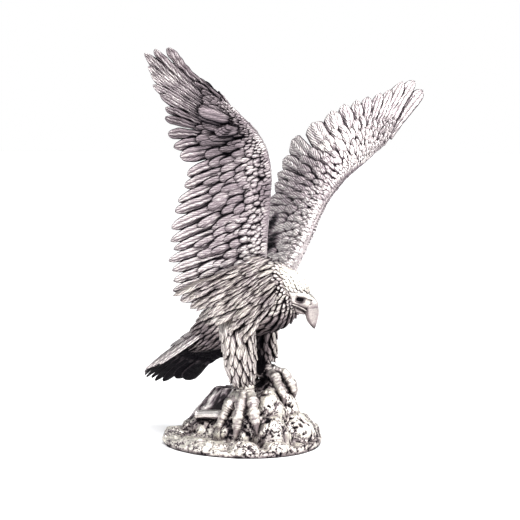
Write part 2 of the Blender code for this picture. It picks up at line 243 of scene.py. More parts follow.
class Forms:
    """Gathers stacks of rings, (how many, stations, around, 3), and writes them as one mesh."""

    def __init__(self):
        self.points, self.numbers, self.quads, self.ends = [], [], [], []
        self.count = 0

    def add(self, rings, tarnish=0.0, along=0.0, across=0.0):
        rings = np.asarray(rings, float)
        if rings.ndim == 3:
            rings = rings[None]
        many, stations, around = rings.shape[:3]
        index = self.count + np.arange(many * stations * around).reshape(many, stations, around)
        ahead = np.roll(index, -1, axis=2)
        quads = np.stack([index[:, :-1], ahead[:, :-1], ahead[:, 1:], index[:, 1:]], axis=-1)
        self.quads.append(quads.reshape(-1, 4))
        self.ends += [index[:, 0, ::-1], index[:, -1]]
        self.points.append(rings.reshape(-1, 3))
        numbers = [np.broadcast_to(number, index.shape).reshape(-1) for number in (tarnish, along, across)]
        self.numbers.append(np.stack(numbers, axis=1))
        self.count += many * stations * around

    def piece(self, name, material, uneven=1.0):
        """The mesh: points, then every face as a run of corner numbers, then the three numbers."""
        mesh = bpy.data.meshes.new(name)
        points, numbers = np.vstack(self.points), np.vstack(self.numbers)
        # Adds the table's painted shade and painted highlights to each point's darkening number.
        numbers[:, 0] = numbers[:, 0] + painted_shade_and_highlights(points)
        points = points + uneven * by_hand(points)
        quads = np.vstack(self.quads)
        sides = [np.full(len(quads), 4)] + [np.full(len(end), end.shape[1]) for end in self.ends]
        corners = np.concatenate([quads.ravel()] + [end.ravel() for end in self.ends])
        totals = np.concatenate(sides)
        mesh.vertices.add(len(points))
        mesh.vertices.foreach_set("co", points.ravel())
        mesh.loops.add(len(corners))
        mesh.loops.foreach_set("vertex_index", corners)
        mesh.polygons.add(len(totals))
        mesh.polygons.foreach_set("loop_start", np.concatenate([[0], np.cumsum(totals)[:-1]]))
        mesh.polygons.foreach_set("loop_total", totals)
        mesh.update(calc_edges=True)
        for k, label in enumerate(("tarnish", "along", "across")):
            layer = mesh.attributes.new(label, "FLOAT", "POINT")
            layer.data.foreach_set("value", np.ascontiguousarray(numbers[:, k]))
        mesh.polygons.foreach_set("use_smooth", np.ones(len(totals), bool))
        mesh.materials.append(material)
        made = bpy.data.objects.new(name, mesh)
        bpy.context.scene.collection.objects.link(made)
        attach(made, "root")
        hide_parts("eagle_statue")
        print(f"{name}: {(totals - 2).sum()} triangles")


# %% [markdown]
# ## The finish: antique silver plate
#
# Silver plate starts out bright all over. To make the carving read, the plater dips it in liver of
# sulphur, which turns it nearly black, and polishes the high places again. So the finish is two metals
# mixed by one mask: bright, slightly warm silver, and a purple-black oxide. The mask comes from how
# closed in a point is (ambient occlusion), from each point's number for oxide, painted shade and painted
# highlights, from how much the surface faces up, which paints shade on the undersides, and from some noise.

# %% The material
BLACK_OXIDE_AND_SHADE, HALF_DARK_MAUVE = (0.009, 0.008, 0.011, 1), (0.34, 0.29, 0.315, 1)
BRIGHT_SILVER = (0.92, 0.90, 0.87, 1)
COOL_PINK, WARM_PINK = (1.0, 0.93, 0.965, 1), (1.0, 0.965, 0.955, 1)
PALE_STRAW = (1.0, 0.99, 0.94, 1)
OXIDE_ROUGHNESS = 0.66
BARB_SPACING = 0.0021


def silver(name, oxide=2.0, reach=0.006, bump=0.5, barbs=0.0, roughness=0.36, pits=0.0, pink=COOL_PINK,
           straw=PALE_STRAW):
    """A node material: mask = occlusion^oxide * (1 - tarnish) * (how much it faces up) * (1 + noise),
    then colour and roughness follow the mask. The carried number holds oxide, painted shade and painted
    highlights, and facing down darkens the mask as a painted shade on the undersides. barbs is the depth
    of the fine lines that run off a feather's shaft, and pits the depth of small holes."""
    material = bpy.data.materials.new(name)
    material.use_nodes = True
    tree = material.node_tree
    shader = tree.nodes["Principled BSDF"]

    def feed(socket, value):
        """Give a socket a plain number or colour, or another node's output."""
        if isinstance(value, bpy.types.NodeSocket):
            tree.links.new(value, socket)
        else:
            socket.default_value = value

    def node(kind, **values):
        made = tree.nodes.new(kind)
        for key, value in values.items():
            if hasattr(made, key):
                setattr(made, key, value)
            else:
                feed(made.inputs[key.replace("_", " ")], value)
        return made

    def number(operation, *values, clamp=False):
        made = node("ShaderNodeMath", operation=operation, use_clamp=clamp)
        for socket, value in zip(made.inputs, values):
            feed(socket, value)
        return made.outputs[0]

    def mixed(factor, low, high, kind="MIX"):
        made = node("ShaderNodeMix", data_type="RGBA", blend_type=kind, Factor=factor)
        for socket, value in zip((s for s in made.inputs if s.type == "RGBA"), (low, high)):
            feed(socket, value)
        return next(s for s in made.outputs if s.type == "RGBA")

    def stretched(value, low, high, least):
        """low to high becomes least to 1, and anything outside stays at those ends."""
        made = node("ShaderNodeMapRange", clamp=True, Value=value, From_Min=low, From_Max=high, To_Min=least,
                    To_Max=1.0)
        return made.outputs["Result"]

    def carried(label):
        return node("ShaderNodeAttribute", attribute_name=label).outputs["Fac"]

    plus, minus, times = (partial(number, kind) for kind in ("ADD", "SUBTRACT", "MULTIPLY"))
    place = node("ShaderNodeTexCoord").outputs["Object"]
    open_share = node("ShaderNodeAmbientOcclusion", samples=4, Distance=reach).outputs["AO"]
    grain = node("ShaderNodeTexNoise", Scale=700.0, Detail=3.0, Vector=place).outputs["Fac"]
    clouds = node("ShaderNodeTexNoise", Scale=70.0, Detail=5.0, Vector=place)
    cloud = clouds.outputs["Fac"]
    facing = node("ShaderNodeSeparateXYZ", Vector=node("ShaderNodeNewGeometry").outputs["Normal"])
    wiped_and_shaded = times(number("POWER", open_share, oxide), minus(1.0, carried("tarnish")))
    # Surfaces that face down get a darker mask: a painted shade on the undersides.
    wiped_and_shaded = times(wiped_and_shaded, stretched(facing.outputs["Z"], -0.95, 0.05, 0.35))
    flecked = plus(times(minus(cloud, 0.5), 0.55), times(minus(grain, 0.5), 0.75))
    mask = times(plus(wiped_and_shaded, times(flecked, wiped_and_shaded)), 1.30, clamp=True)
    height = times(grain, 0.0004)
    if barbs:
        slant = minus(times(carried("along"), 0.27), times(number("ABSOLUTE", carried("across")), 0.96))
        lines = number("SINE", plus(times(slant, 2 * math.pi / BARB_SPACING), times(cloud, 9.0)))
        mask = times(mask, plus(0.80, times(lines, 0.20)))
        height = plus(height, times(lines, barbs))
    if pits:
        bent = node("ShaderNodeVectorMath", operation="MULTIPLY_ADD")
        for socket, value in zip(bent.inputs, (clouds.outputs["Color"], (0.008, 0.008, 0.008), place)):
            feed(socket, value)
        holes = node("ShaderNodeTexVoronoi", feature="F1", Scale=480.0, Vector=bent.outputs[0])
        worm = stretched(plus(holes.outputs["Distance"], times(minus(cloud, 0.50), 1.6)), 0.16, 0.42, 0.10)
        mask = times(mask, worm)
        height = plus(height, times(worm, pits))
    ramp = node("ShaderNodeValToRGB", Fac=mask)
    stops = ramp.color_ramp.elements
    stops[0].color, stops[1].color = BLACK_OXIDE_AND_SHADE, BRIGHT_SILVER
    stops.new(0.45).color = HALF_DARK_MAUVE
    colour = mixed(0.85, ramp.outputs["Color"], mixed(cloud, pink, straw), "MULTIPLY")
    feed(shader.inputs["Base Color"], colour)
    feed(shader.inputs["Roughness"], plus(times(mask, roughness - OXIDE_ROUGHNESS), OXIDE_ROUGHNESS))
    shader.inputs["Metallic"].default_value = 1.0
    raised = node("ShaderNodeBump", Strength=bump, Distance=1.0, Height=height)
    feed(shader.inputs["Normal"], raised.outputs["Normal"])
    return material


FEATHER_SILVER = silver("feather_silver", oxide=4.0, barbs=0.00016, bump=0.8)
PLUME_SILVER = silver("plume_silver", oxide=3.8, barbs=0.00014, bump=0.8, straw=(1.0, 0.98, 0.83, 1))
BODY_SILVER = silver("body_silver", oxide=2.0, reach=0.005, bump=0.6, pink=WARM_PINK,
                     straw=(1.0, 0.98, 0.82, 1))
CLAW_SILVER = silver("claw_silver", oxide=3.2, bump=0.9, roughness=0.46, pink=WARM_PINK,
                     straw=(1.0, 0.98, 0.84, 1))
WOOD_SILVER = silver("wood_silver", oxide=2.4, bump=1.0, roughness=0.45)
ROCK_SILVER = silver("rock_silver", oxide=2.6, bump=0.9, roughness=0.52, pits=0.0006, pink=WARM_PINK,
                     straw=(1.0, 0.985, 0.85, 1))
print("finishes:", [material.name for material in bpy.data.materials])

# %% [markdown]
# ## One feather
#
# A cast feather is a long leaf: narrow at the root, soon at its full width, then a rounded tip. Its
# face is gently crowned, with a raised shaft down the middle. In section it is a closed ring: across
# the top face from edge to edge, then back underneath. We carry that ring along a path, and make it
# narrower where the leaf narrows. Hundreds of feathers are one array, worked out in one go.

# %% The feather's outline and section


def leaf(share, root=0.35, point=0.62, blunt=2.2):
    """Half width of a feather, 1 at its widest: it opens from root to 1 as a quarter sine, and past
    point the tip closes to almost 0 as a rounded end, (1 - t^blunt) ^ (1 / blunt)."""
    opening = root + (1 - root) * np.sin(np.clip(share / 0.4, 0, 1) * math.pi / 2)
    t = np.clip((share - point) / (1 - point), 0, 0.999)
    return opening * (1 - t**blunt) ** (1 / blunt)


def feathers(share, path, up, half_width, thick, top=5, under=3, shaft=0.35, tilt=0.0, covered=0.45,
             ridges=0.0, below=0.75):
    """Closed feather forms. share is how far along each station lies; path and up are (many,
    stations, 3), half_width is (many, stations). A ring's top is crowned as thick * 0.7 *
    (1 - |x|^2.6), plus a shaft ridge and ridges * cos(3 pi x), which leaves grooves that hold oxide;
    its underside is a flatter bow, painted darker by below as a painted shade. tilt raises one edge over
    the neighbour. Up to covered a feather is painted dark, a painted shade for the root that lies under
    others. Returns rings, the number for oxide and painted shade, along and across."""
    many, stations = path.shape[:2]
    forward = unit(np.gradient(path, axis=1))
    side = unit(np.cross(forward, up))
    up = unit(np.cross(side, forward))
    x = np.concatenate([np.linspace(-1, 1, top), np.linspace(1, -1, under + 2)[1:-1]])
    is_top = np.arange(len(x)) < top
    wave = np.cos(3 * math.pi * x)
    ridge = shaft * np.exp(-((x / 0.16) ** 2)) + ridges * wave * (1 - x**4)
    rise = np.where(is_top, (1 - np.abs(x) ** 2.6) * 0.70 + ridge, -0.45 * (1 - x**2) - 0.3 * ridge - 0.15)
    width = half_width[..., None] * x
    thick, tilt = (np.broadcast_to(value, (many, stations))[..., None] for value in (thick, tilt))
    height = thick * rise + width * tilt
    rings = path[:, :, None] + side[:, :, None] * width[..., None] + up[:, :, None] * height[..., None]
    length = np.linalg.norm(np.diff(path, axis=1), axis=-1)
    run = np.concatenate([np.zeros((many, 1)), np.cumsum(length, axis=1)], axis=1)
    # The covered root and the underside are painted dark, painted shade under the overlapping feathers; the
    # edges and the grooves hold oxide.
    hidden = np.atleast_2d(1 - blend(share, covered - 0.3, covered + 0.05))[..., None]
    edge = 0.40 * np.abs(x) ** 3 + 2.8 * ridges * np.clip(-wave, 0, 1)
    tarnish = np.where(is_top, 0.9 * hidden + edge, np.maximum(below, 0.6 * hidden))
    return rings, tarnish, np.broadcast_to(run[..., None], rings.shape[:3]), width


def straight_feather(s, ends, lift, wide, up, thick, outline, **look):
    """One feather straight between two table points, raised along up by lift; outline is leaf's own."""
    start, end = np.array(ends, float)
    path = (start + (end - start) * s[:, None] + up * np.reshape(lift, (-1, 1))) * UNIT
    half = wide / 2 * UNIT * leaf(s, *outline)
    return feathers(s, path[None], np.broadcast_to(up, path.shape)[None], half[None], thick, 13, 5, **look)


# %% [markdown]
# ## Laying feathers on a form
#
# Each part of the bird is a guide: a function of u (across the rows) and v (along the way the feathers
# lie) that gives a point on the skin. A feather is a short line on that guide which starts just under
# the skin and ends a little above it, so its tip covers the next row's roots.

# %% Read a guide, and lay rows on it


def skin(guide, u, v, step=2e-3):
    """A guide's points, their outward directions and the distance that one whole u spans there. The
    outward direction is across x along, from small steps to both sides."""
    points = guide(u, v)
    span = (guide(u + step, v) - guide(u - step, v)) / (2 * step)
    along = (guide(u, v + step) - guide(u, v - step)) / (2 * step)
    return points, unit(np.cross(span, along)), np.linalg.norm(span, axis=-1)


def lay(forms, guide, u, v, length, wide, thick, rise, flip, sink=0.0008, stations=7, drift=0.0, twist=0.0,
        curl=0.0, top=5, shaft=0.35, point=0.55, blunt=2.0, covered=0.4, of_span=False, ridges=0.0, stain_and_shade=0.0):
    """Feathers on a guide. u, v, length, wide and thick hold one value each or are plain numbers:
    v runs on by length, u drifts, the height above the skin climbs from -sink to rise, and the tip
    turns up by curl. flip is -1 where the guide's outward direction points in. With of_span, wide is
    a share of the distance that one whole u spans."""
    u, v, length, wide, thick, drift, rise, curl, twist = (
        np.broadcast_to(np.asarray(value, float), np.shape(u))[:, None]
        for value in (u, v, length, wide, thick, drift, rise, curl, twist)
    )
    s = slowing(stations, 1.25)
    points, outward, span = skin(guide, u + drift * s, v + length * s)
    outward = outward * flip
    height = -sink + (rise + sink) * np.sin(s * math.pi / 2) + curl * s**3
    path = points + outward * height[..., None]
    half = (span * wide if of_span else wide) / 2 * leaf(s, point=point, blunt=blunt)
    rings, tarnish, along, across = feathers(s, path, outward, half, thick * (1 - 0.45 * s**3), top,
                                             shaft=shaft, tilt=twist, covered=covered, ridges=ridges)
    forms.add(rings, tarnish + stain_and_shade, along, across)


def rows(count, start, end, around, loosen=0.25):
    """u and v of staggered rows: row k lies at an even step from start to end, and every second row is
    shifted by half a feather, like roof tiles. loosen moves each one by a share of its spacing."""
    v = np.repeat(np.linspace(start, end, count), around)
    u = (np.tile(np.arange(around), count) + 0.5 * (np.arange(count * around) // around % 2)) / around
    u = u + loosen * random.uniform(-0.5, 0.5, len(u)) / around
    v = v + loosen * random.uniform(-0.5, 0.5, len(v)) * (end - start) / max(count, 2)
    return u, v


# %% [markdown]
# ## The wings
#
# A wing is mapped by feather lines. Each line starts at the leading edge (its root) and runs back to a
# feather's tip. Eleven roots and eleven tips, chosen against the statue, are enough: every line
# in between comes from the smooth curve through them. u says which line, from the shoulder out to the
# last flight feather, and v how far along it.

# %% Where the feather lines start and end
RIGHT_ROOTS = (
    (30, -12, 150), (41, -22, 176), (46, -27, 204), (50, -29, 233), (54, -33, 262), (52, -38, 284),
    (47, -45, 298), (42, -52, 307), (37, -60, 315), (30, -70, 325), (25, -77, 331),
)
RIGHT_TIPS = (
    (-28, -42, 130), (-46, -50, 147), (-47, -55, 173), (-42, -59, 200), (-35, -63, 230), (-21, -65, 262),
    (-27, -84, 294), (-15, -104, 322), (-21, -116, 346), (-26, -121, 370), (2, -119, 376),
)
LEFT_ROOTS = (
    (40, 16, 156), (48, 40, 190), (49, 62, 216), (48, 84, 234), (50, 106, 249), (51, 125, 258),
    (54, 140, 265), (56, 153, 272), (59, 165, 280), (63, 175, 287), (65, 182, 291),
)
LEFT_TIPS = (
    (-30, 42, 140), (-31, 70, 184), (-30, 96, 228), (-28, 120, 263), (-11, 138, 302), (11, 157, 324),
    (28, 176, 335), (44, 192, 340), (57, 208, 349), (69, 224, 358), (82, 239, 346),
)
WING_CAMBER = 0.055
ARM_THICKNESS = 0.0125
HAND_THICKNESS = 0.0060
CORE_END = 0.60


def wing_guide(roots, tips, hollow):
    """Returns guide(u, v, face): root + (tip - root) * v, bowed by camber * 4v(1 - v) * reach, and
    raised by half the arm's thickness towards face (+1 or -1; 0 is the middle of the wing). Past
    the first and the last line it runs straight on."""
    fine = np.linspace(0, 1, 401)
    root, tip = through(roots, fine) * UNIT, through(tips, fine) * UNIT
    out = unit(np.cross(np.gradient((root + tip) / 2, fine, axis=0), tip - root))
    table = np.hstack([root, tip, out])

    def guide(u, v, face=0.0):
        u, v = grids(u, v)
        inside = np.clip(u, 0, 1)
        row = np.stack([np.interp(inside, fine, table[:, k]) for k in range(9)], axis=-1)
        low, high, normal = row[..., :3], row[..., 3:6], row[..., 6:]
        past = (u - inside)[..., None]
        ends = np.where(past > 0, table[-1, :3] - table[-9, :3], table[8, :3] - table[0, :3]) / fine[8]
        chord = high - low
        bow = -hollow * WING_CAMBER * 4 * v * (1 - v) * np.linalg.norm(chord, axis=-1)
        return low + chord * v[..., None] + normal * (bow + face * arm_half(u, v))[..., None] + ends * past

    return guide


def arm_half(u, v):
    """Half the thickness of the wing's arm: an ellipse's nose at the leading edge, then a straight
    taper to a thin blade at CORE_END."""
    thick = ARM_THICKNESS + (HAND_THICKNESS - ARM_THICKNESS) * np.clip(u, 0, 1)
    nose = np.sqrt(1 - (1 - np.clip(v / 0.07, 0, 1)) ** 2)
    return 0.5 * (thick - 0.0022) * nose * np.maximum(1 - v / 0.66, 0.08) + 0.0002


# %% [markdown]
# ### Flight feathers and coverts
#
# The long flight feathers make the outline and are seen from both faces. Over their roots lie
# the greater coverts, then the median coverts, then rows of small scales up to the leading edge, and
# the scales wrap round it. The same rows go on both faces. The hand of the right wing carries a few big
# alula feathers, like a thumb.

# %% Build a wing
RIGHT_LINES = (np.arange(25) + 0.5) / 25
LEFT_LINES = np.concatenate([np.linspace(0.02, 0.36, 10), np.linspace(0.425, 0.982, 10)])
LEFT_LONGER = np.interp(np.arange(20), (6, 8.5, 9, 9.01), (0.0, 0.12, 0.12, 0.0))
HAND_START = 0.58
BIG_COVERTS = (
    (26, 0.40, 0.25, 1.20, 0.0019, 0.0022), (27, 0.30, 0.24, 1.20, 0.0018, 0.0024),
    (28, 0.225, 0.18, 1.20, 0.0017, 0.0023),
)
SCALES = (
    (34, 0.165, 0.145, 1.25, 0.0015, 0.0021), (36, 0.12, 0.115, 1.25, 0.0014, 0.0020),
    (42, 0.083, 0.095, 1.25, 0.0013, 0.0018), (46, 0.052, 0.08, 1.25, 0.0012, 0.0016),
    (50, 0.026, 0.065, 1.25, 0.0011, 0.0015), (54, 0.004, 0.055, 1.25, 0.0010, 0.0014),
    (54, -0.014, 0.05, 1.25, 0.0010, 0.0012),
)


def flight_feathers(forms, guide, lines, slant, longer):
    """The long feathers: each follows its own line from v = 0.28, or 0.10 at the wing's end, to its
    tip, and a few run on past it by a share of the line. Each is tilted so that one edge rides over the
    next feather. slant leans the hand's feathers."""
    count = len(lines)
    spacing = np.gradient(lines)[:, None]
    reach = 1.0 + random.uniform(-0.040, 0.010, count) + longer
    s = slowing(64, 1.15)
    hand = np.clip((lines[:, None] - HAND_START) / (1 - HAND_START), 0, 1)
    start = 0.28 - 0.18 * hand
    v = start + (reach[:, None] - start) * s
    lean = slant * hand * (1 - 0.82 * hand**2)
    narrower = 1 - 0.30 * np.sin(hand * math.pi) * (1 - s)
    droop = random.uniform(-0.25, 0.25, count)[:, None] * spacing
    place = lines[:, None] + droop * s**2 - lean * (1 - s)
    points, outward, span = skin(guide, place, v)
    ripple = 0.0004 * np.sin(v * 40 + random.uniform(0, 6, count)[:, None])
    room = np.maximum(np.gradient(place, axis=0), 0.7 * spacing)
    half = span * room * narrower * (0.66 - 0.12 * s) * leaf(s, root=0.75, point=0.74, blunt=1.9)
    forms.add(*feathers(s, points + outward * ripple[..., None], outward, np.minimum(half, 0.0115),
                        0.0023 * (1 - 0.40 * s), 13, 9, 0.45, 0.26 * (1 - 0.4 * s)[None],
                        covered=0.30 - 0.30 * hand, ridges=0.20, below=0.25))


def covert_rows(forms, guide, face, finer, outermost):
    """Rows of (how many, start, length, width share, thickness, rise) from the outermost greater
    coverts to the scales on the leading edge; later rows lie over earlier ones. outermost is the
    last feather line that carries them."""
    for k, (count, start, length, wide, thick, rise) in enumerate(BIG_COVERTS + SCALES):
        count = int(count * finer)
        u = (np.arange(count) + 0.5 * (k % 2) + 0.25 + random.uniform(-0.22, 0.22, count)) / count
        u = np.clip(u * outermost, 0.002, outermost)
        shorter = 1 - 0.45 * blend(u, 0.62, 0.85)
        v = (start + random.uniform(-0.26, 0.26, count) * length) * shorter
        detail = dict(stations=10, top=7, ridges=0.10) if k < len(BIG_COVERTS) else {}
        lay(forms, partial(guide, face=face), u, np.maximum(v, 0.001),
            length * shorter * random.uniform(0.78, 1.28, count),
            wide / count * random.uniform(0.78, 1.15, count), thick,
            rise * random.uniform(0.75, 1.35, count), face, of_span=True, shaft=0.3, point=0.45, blunt=2.1,
            twist=random.uniform(0.05, 0.35, count) * face, drift=random.uniform(-0.35, 0.35, count) / count,
            covered=0.35 if start > 0.03 else -0.05, **detail)


def there_and_back(v):
    """v back along the top face and out along the underside, and which face each point is on."""
    return np.concatenate([v[::-1], v[1:-1]]), np.concatenate([np.ones(len(v)), -np.ones(len(v) - 2)])


def wing_core(forms, guide):
    """The arm under the feathers: a flat ring round both faces, carried from shoulder to hand."""
    u = np.linspace(0.0, 0.955, 90)[:, None]
    v, face = there_and_back(CORE_END * (0.5 - 0.5 * np.cos(np.linspace(0, math.pi, 22))))
    hand = 1 - 0.45 * blend(u, 0.75, 1.0)
    forms.add(guide(u, v[None] * hand, face[None]), tarnish=0.6 * blend(v, 0.03, 0.12) * hand)


def build_wing(name, roots, tips, hollow, lines, longer, slant, finer):
    guide = wing_guide(roots, tips, hollow)
    long_ones, short_ones = Forms(), Forms()
    wing_core(long_ones, guide)
    flight_feathers(long_ones, guide, lines, slant, longer)
    long_ones.piece(name + "_flight_feathers", FEATHER_SILVER)
    for face in (1, -1):
        covert_rows(short_ones, guide, face, finer, lines[-2] - 0.01)
    return short_ones


right_coverts = build_wing("right_wing", RIGHT_ROOTS, RIGHT_TIPS, 1, RIGHT_LINES, 0.0, 0.38, 1.18)
left_coverts = build_wing("left_wing", LEFT_ROOTS, LEFT_TIPS, -1, LEFT_LINES, LEFT_LONGER, 0.26, 1.25)

# %% The alula: broad feathers laid over the wrist
ALULA = (
    ((30, -60, 297), (9, -67, 295), 12, 2.4), ((30, -61, 303), (4, -70, 307), 13, 3.6),
    ((28, -62, 309), (-1, -74, 318), 16, 4.8), ((29, -66, 313), (7, -79, 320), 17.5, 5.2),
)
ROSETTE = tuple(
    ((34 - 1.2 * k, -59, 303), (15 + 3.8 * k, -66 + 1.2 * k, 300.5 + 0.5 * k), 15 - 2.8 * k, 4.6 + 1.1 * k)
    for k in range(4)
)
CAMERA_SIDE = np.array((0.18, -0.95, 0.25))


def alula(forms):
    """Each feather runs from the wrist straight to its tip and stands clear of the wing on the
    camera's side by its own height. Four of them, ever smaller, lie on one another like arcs."""
    s = np.linspace(0, 1, 26)
    for start, end, wide, stand in ALULA + ROSETTE:
        height = stand * np.sin(s * math.pi / 2) + 1.2 * np.sin(s * math.pi)
        rings, tarnish, along, across = straight_feather(
            s, (start, end), height, wide, CAMERA_SIDE, 0.0030, (0.70, 0.55, 2.4), shaft=0.25, tilt=-0.12,
            covered=0.1, ridges=0.07)
        forms.add(rings, tarnish + 0.22, along, across)


alula(right_coverts)
right_coverts.piece("right_wing_coverts", FEATHER_SILVER)
left_coverts.piece("left_wing_coverts", FEATHER_SILVER)

# %% [markdown]
# ## The tail
#
# The tail is a small wing without an arm: a fan of stiff feathers whose lines run from the rump to the
# tips. Short coverts hide its root above and below.

# %% Build the tail
TAIL_ROOTS = ((-36, -13, 105), (-40, -8, 107), (-42, -2, 106), (-40, 5, 101), (-36, 11, 94), (-28, 15, 85))
TAIL_TIPS = (
    (-90, -25, 67), (-104, -18, 62), (-113, -8, 55), (-115, 4, 48), (-105, 17, 45), (-78, 27, 50),
)
TAIL_COUNT = 11
TAIL_CURLED = (
    ((-30, -15, 110), (-90, -26.5, 69), 5.6), ((-34, -13, 111), (-99, -22.5, 65), 5.4),
    ((-30, -17, 106), (-80, -27, 72), 5.0),
)
TAIL_EDGE_UP = np.array((0.25, -0.62, 0.74))
TAIL_COVERTS = ((12, 0.16, 0.34, 0.0024), (13, 0.02, 0.32, 0.0030), (13, -0.12, 0.30, 0.0034))


def tail_guide(u, v, face=0.0):
    """Straight lines from the rump to the tips, bowed up a little, with a thin wedge of thickness."""
    u, v = grids(u, v)
    root, tip = through(TAIL_ROOTS, u) * UNIT, through(TAIL_TIPS, u) * UNIT
    ends = (u - np.clip(u, 0, 1))[..., None] * np.array((0.0, 0.05, -0.01))
    up = unit(np.array((-0.5, 0.3, 0.8)))
    half = 0.0034 * np.maximum(1 - v / 0.8, 0.1)
    bow = 0.03 * 4 * v * (1 - v) * 0.085
    return root + (tip - root) * v[..., None] + up * (bow + face * half)[..., None] + ends


def tail_piece():
    """The wedge, the fan of long feathers, three narrow ones rolled over its near edge, and coverts."""
    forms = Forms()
    v, face = there_and_back(0.7 * np.linspace(0, 1, 16))
    forms.add(tail_guide(np.linspace(0.03, 0.97, 40)[:, None], v[None], face[None]), tarnish=0.8)
    s = slowing(56, 1.15)
    line = (np.arange(TAIL_COUNT) + 0.5) / TAIL_COUNT
    reach = 1 + random.uniform(-0.05, 0.0, TAIL_COUNT)
    reach[-3:] += np.array((0.02, -0.03, 0.02))
    v = 0.12 + (reach[:, None] - 0.12) * s
    points, outward, span = skin(tail_guide, line[:, None] + 0 * v, v)
    half = np.minimum(span / TAIL_COUNT * 0.70 * leaf(s, root=0.8, point=0.78, blunt=2.0), 0.0085)
    # The long feathers' undersides are painted fully dark, a painted shade under the tail.
    forms.add(*feathers(s, points, outward, half, 0.0020 * (1 - 0.4 * s), 13, 7, 0.45, 0.2, covered=0.2,
                        ridges=0.15, below=1.0))
    for start, end, wide in TAIL_CURLED:
        rings, tarnish, along, across = straight_feather(
            s, (start, end), 0.0, wide, TAIL_EDGE_UP, 0.0022 * (1 - 0.4 * s), (0.6, 0.75, 2.0), shaft=0.5,
            tilt=0.1, covered=0.1, ridges=0.2, below=0.9)
        forms.add(rings, tarnish - 0.6 * (tarnish < 0.7), along, across)
    # The coverts on the tail's underside are painted dark, a painted shade.
    for face in (1, -1):
        for count, start, length, rise in TAIL_COVERTS:
            u = (np.arange(count) + 0.5 + random.uniform(-0.15, 0.15, count)) / count
            lay(forms, partial(tail_guide, face=face), u, start + random.uniform(-0.03, 0.03, count), length,
                0.0078, 0.0012, rise, face, stations=9, top=7, point=0.5, covered=0.3,
                stain_and_shade=0.9 if face < 0 else 0.0)
    forms.piece("tail_feathers", FEATHER_SILVER)


tail_piece()

# %% [markdown]
# ## The body
#
# The body is a loft: ellipses of changing size strung along a bent line from the neck to the rump. Its
# feathers are short and pointed. They start at the neck and point back, so each row, counted from the
# tail, hides the roots of the row behind it.

# %% The body's guide and its feathers
TORSO = (
    (56, 155, 18, 18), (46, 151, 26, 26), (30, 143, 32, 32), (2, 130, 30, 28), (-24, 112, 23, 21),
    (-44, 99, 16, 14), (-60, 90, 9, 7),
)
BODY_INSET = 0.0022


def loft(table, u, v, inset=0.0):
    """Ellipses strung along a line in an upright plane, in table units: u is the turn, v the place
    along. Each point is line + side * wide cos(turn) + rise * deep sin(turn), where rise stands square
    to the line. Returns ahead, sideways, up and the turn."""
    u, v = grids(u, v)
    line = through(table, v)
    low = np.clip(v, 0.0, 0.99)
    ahead = through(table, low + 0.01) - through(table, low)
    ahead = ahead / np.maximum(np.hypot(ahead[..., 0], ahead[..., 1]), 1e-9)[..., None]
    turn = 2 * math.pi * u
    lift = (line[..., 3] - inset) * np.sin(turn)
    sideways = (line[..., 2] - inset) * np.cos(turn)
    return line[..., 0] - ahead[..., 1] * lift, sideways, line[..., 1] + ahead[..., 0] * lift, turn


def torso_guide(u, v):
    """The body's loft, set in a little; u starts at the left flank, v runs from neck to rump."""
    return np.stack(loft(TORSO, u, v, BODY_INSET / UNIT)[:3], axis=-1) * UNIT


def whole_rings(guide, around, start, end, stations):
    """Rings of a guide that goes right round, for the plain form under the feathers."""
    u = np.arange(around) / around
    v = np.linspace(start, end, stations)
    return guide(u[None], v[:, None])


def outward_sign(guide, centre):
    """1 if the guide's across x along points away from a point inside it, and -1 if towards it."""
    points, normal, _ = skin(guide, np.array([0.1]), np.array([0.5]))
    return 1 if float(((points - centre) * normal).sum()) > 0 else -1


def body_piece():
    forms = Forms()
    sign = outward_sign(torso_guide, np.array((0.0, 0.0, 0.13)))
    forms.add(whole_rings(torso_guide, 64, 0.0, 1.0, 60)[:, ::sign], tarnish=0.7)
    for count, start, end, around, length, rise, thick in (
        (9, 0.96, 0.52, 20, 0.125, 0.0034, 0.0017), (9, 0.47, 0.06, 27, 0.095, 0.0030, 0.0015),
        (3, 0.02, -0.06, 22, 0.085, 0.0026, 0.0013),
    ):
        u, v = rows(count, start, end, around)
        lay(forms, torso_guide, u, v, length * random.uniform(0.85, 1.25, len(u)), 1.15 / around, thick, rise,
            sign, of_span=True, drift=random.uniform(-0.25, 0.25, len(u)) / around, point=0.35, blunt=1.6,
            twist=0.1, curl=random.uniform(-0.0002, 0.0010, len(u)), covered=0.35)
    return forms


body = body_piece()

# %% [markdown]
# ### The shoulder plumes
#
# From each shoulder a cape of long, narrow feathers sweeps back over the flank and the root of the wing,
# with deep dark gaps between them. Its guide is a fan between two lines: one along the shoulder and one
# where the tips end.

# %% Lay the cape of long feathers on each flank
FLANK_ROOT = ((44, -33, 186), (50, -35, 177), (53, -36, 167), (55, -35, 155), (56, -31, 143))
FLANK_TIP = (
    (-42, -49, 148), (-32, -48, 138), (-18, -45, 130), (-4, -40, 121), (10, -35, 109), (24, -31, 100),
)
LEFT_DRAWN_BACK = np.array((-17.0, 0.0, 0.0))


def flank_guide(turned):
    """The right flank as in the tables; the left one is its mirror, drawn back under the other wing."""
    back = LEFT_DRAWN_BACK if turned < 0 else 0.0

    def guide(u, v):
        u, v = grids(u, v)
        root, tip = (through(FLANK_ROOT, u) + back) * UNIT, (through(FLANK_TIP, u) + back) * UNIT
        bow = np.array((0.0, -0.0030, 0.0)) * (4 * v * (1 - v))[..., None]
        return (root + (tip - root) * v[..., None] + bow) * np.array((1.0, turned, 1.0))
    return guide


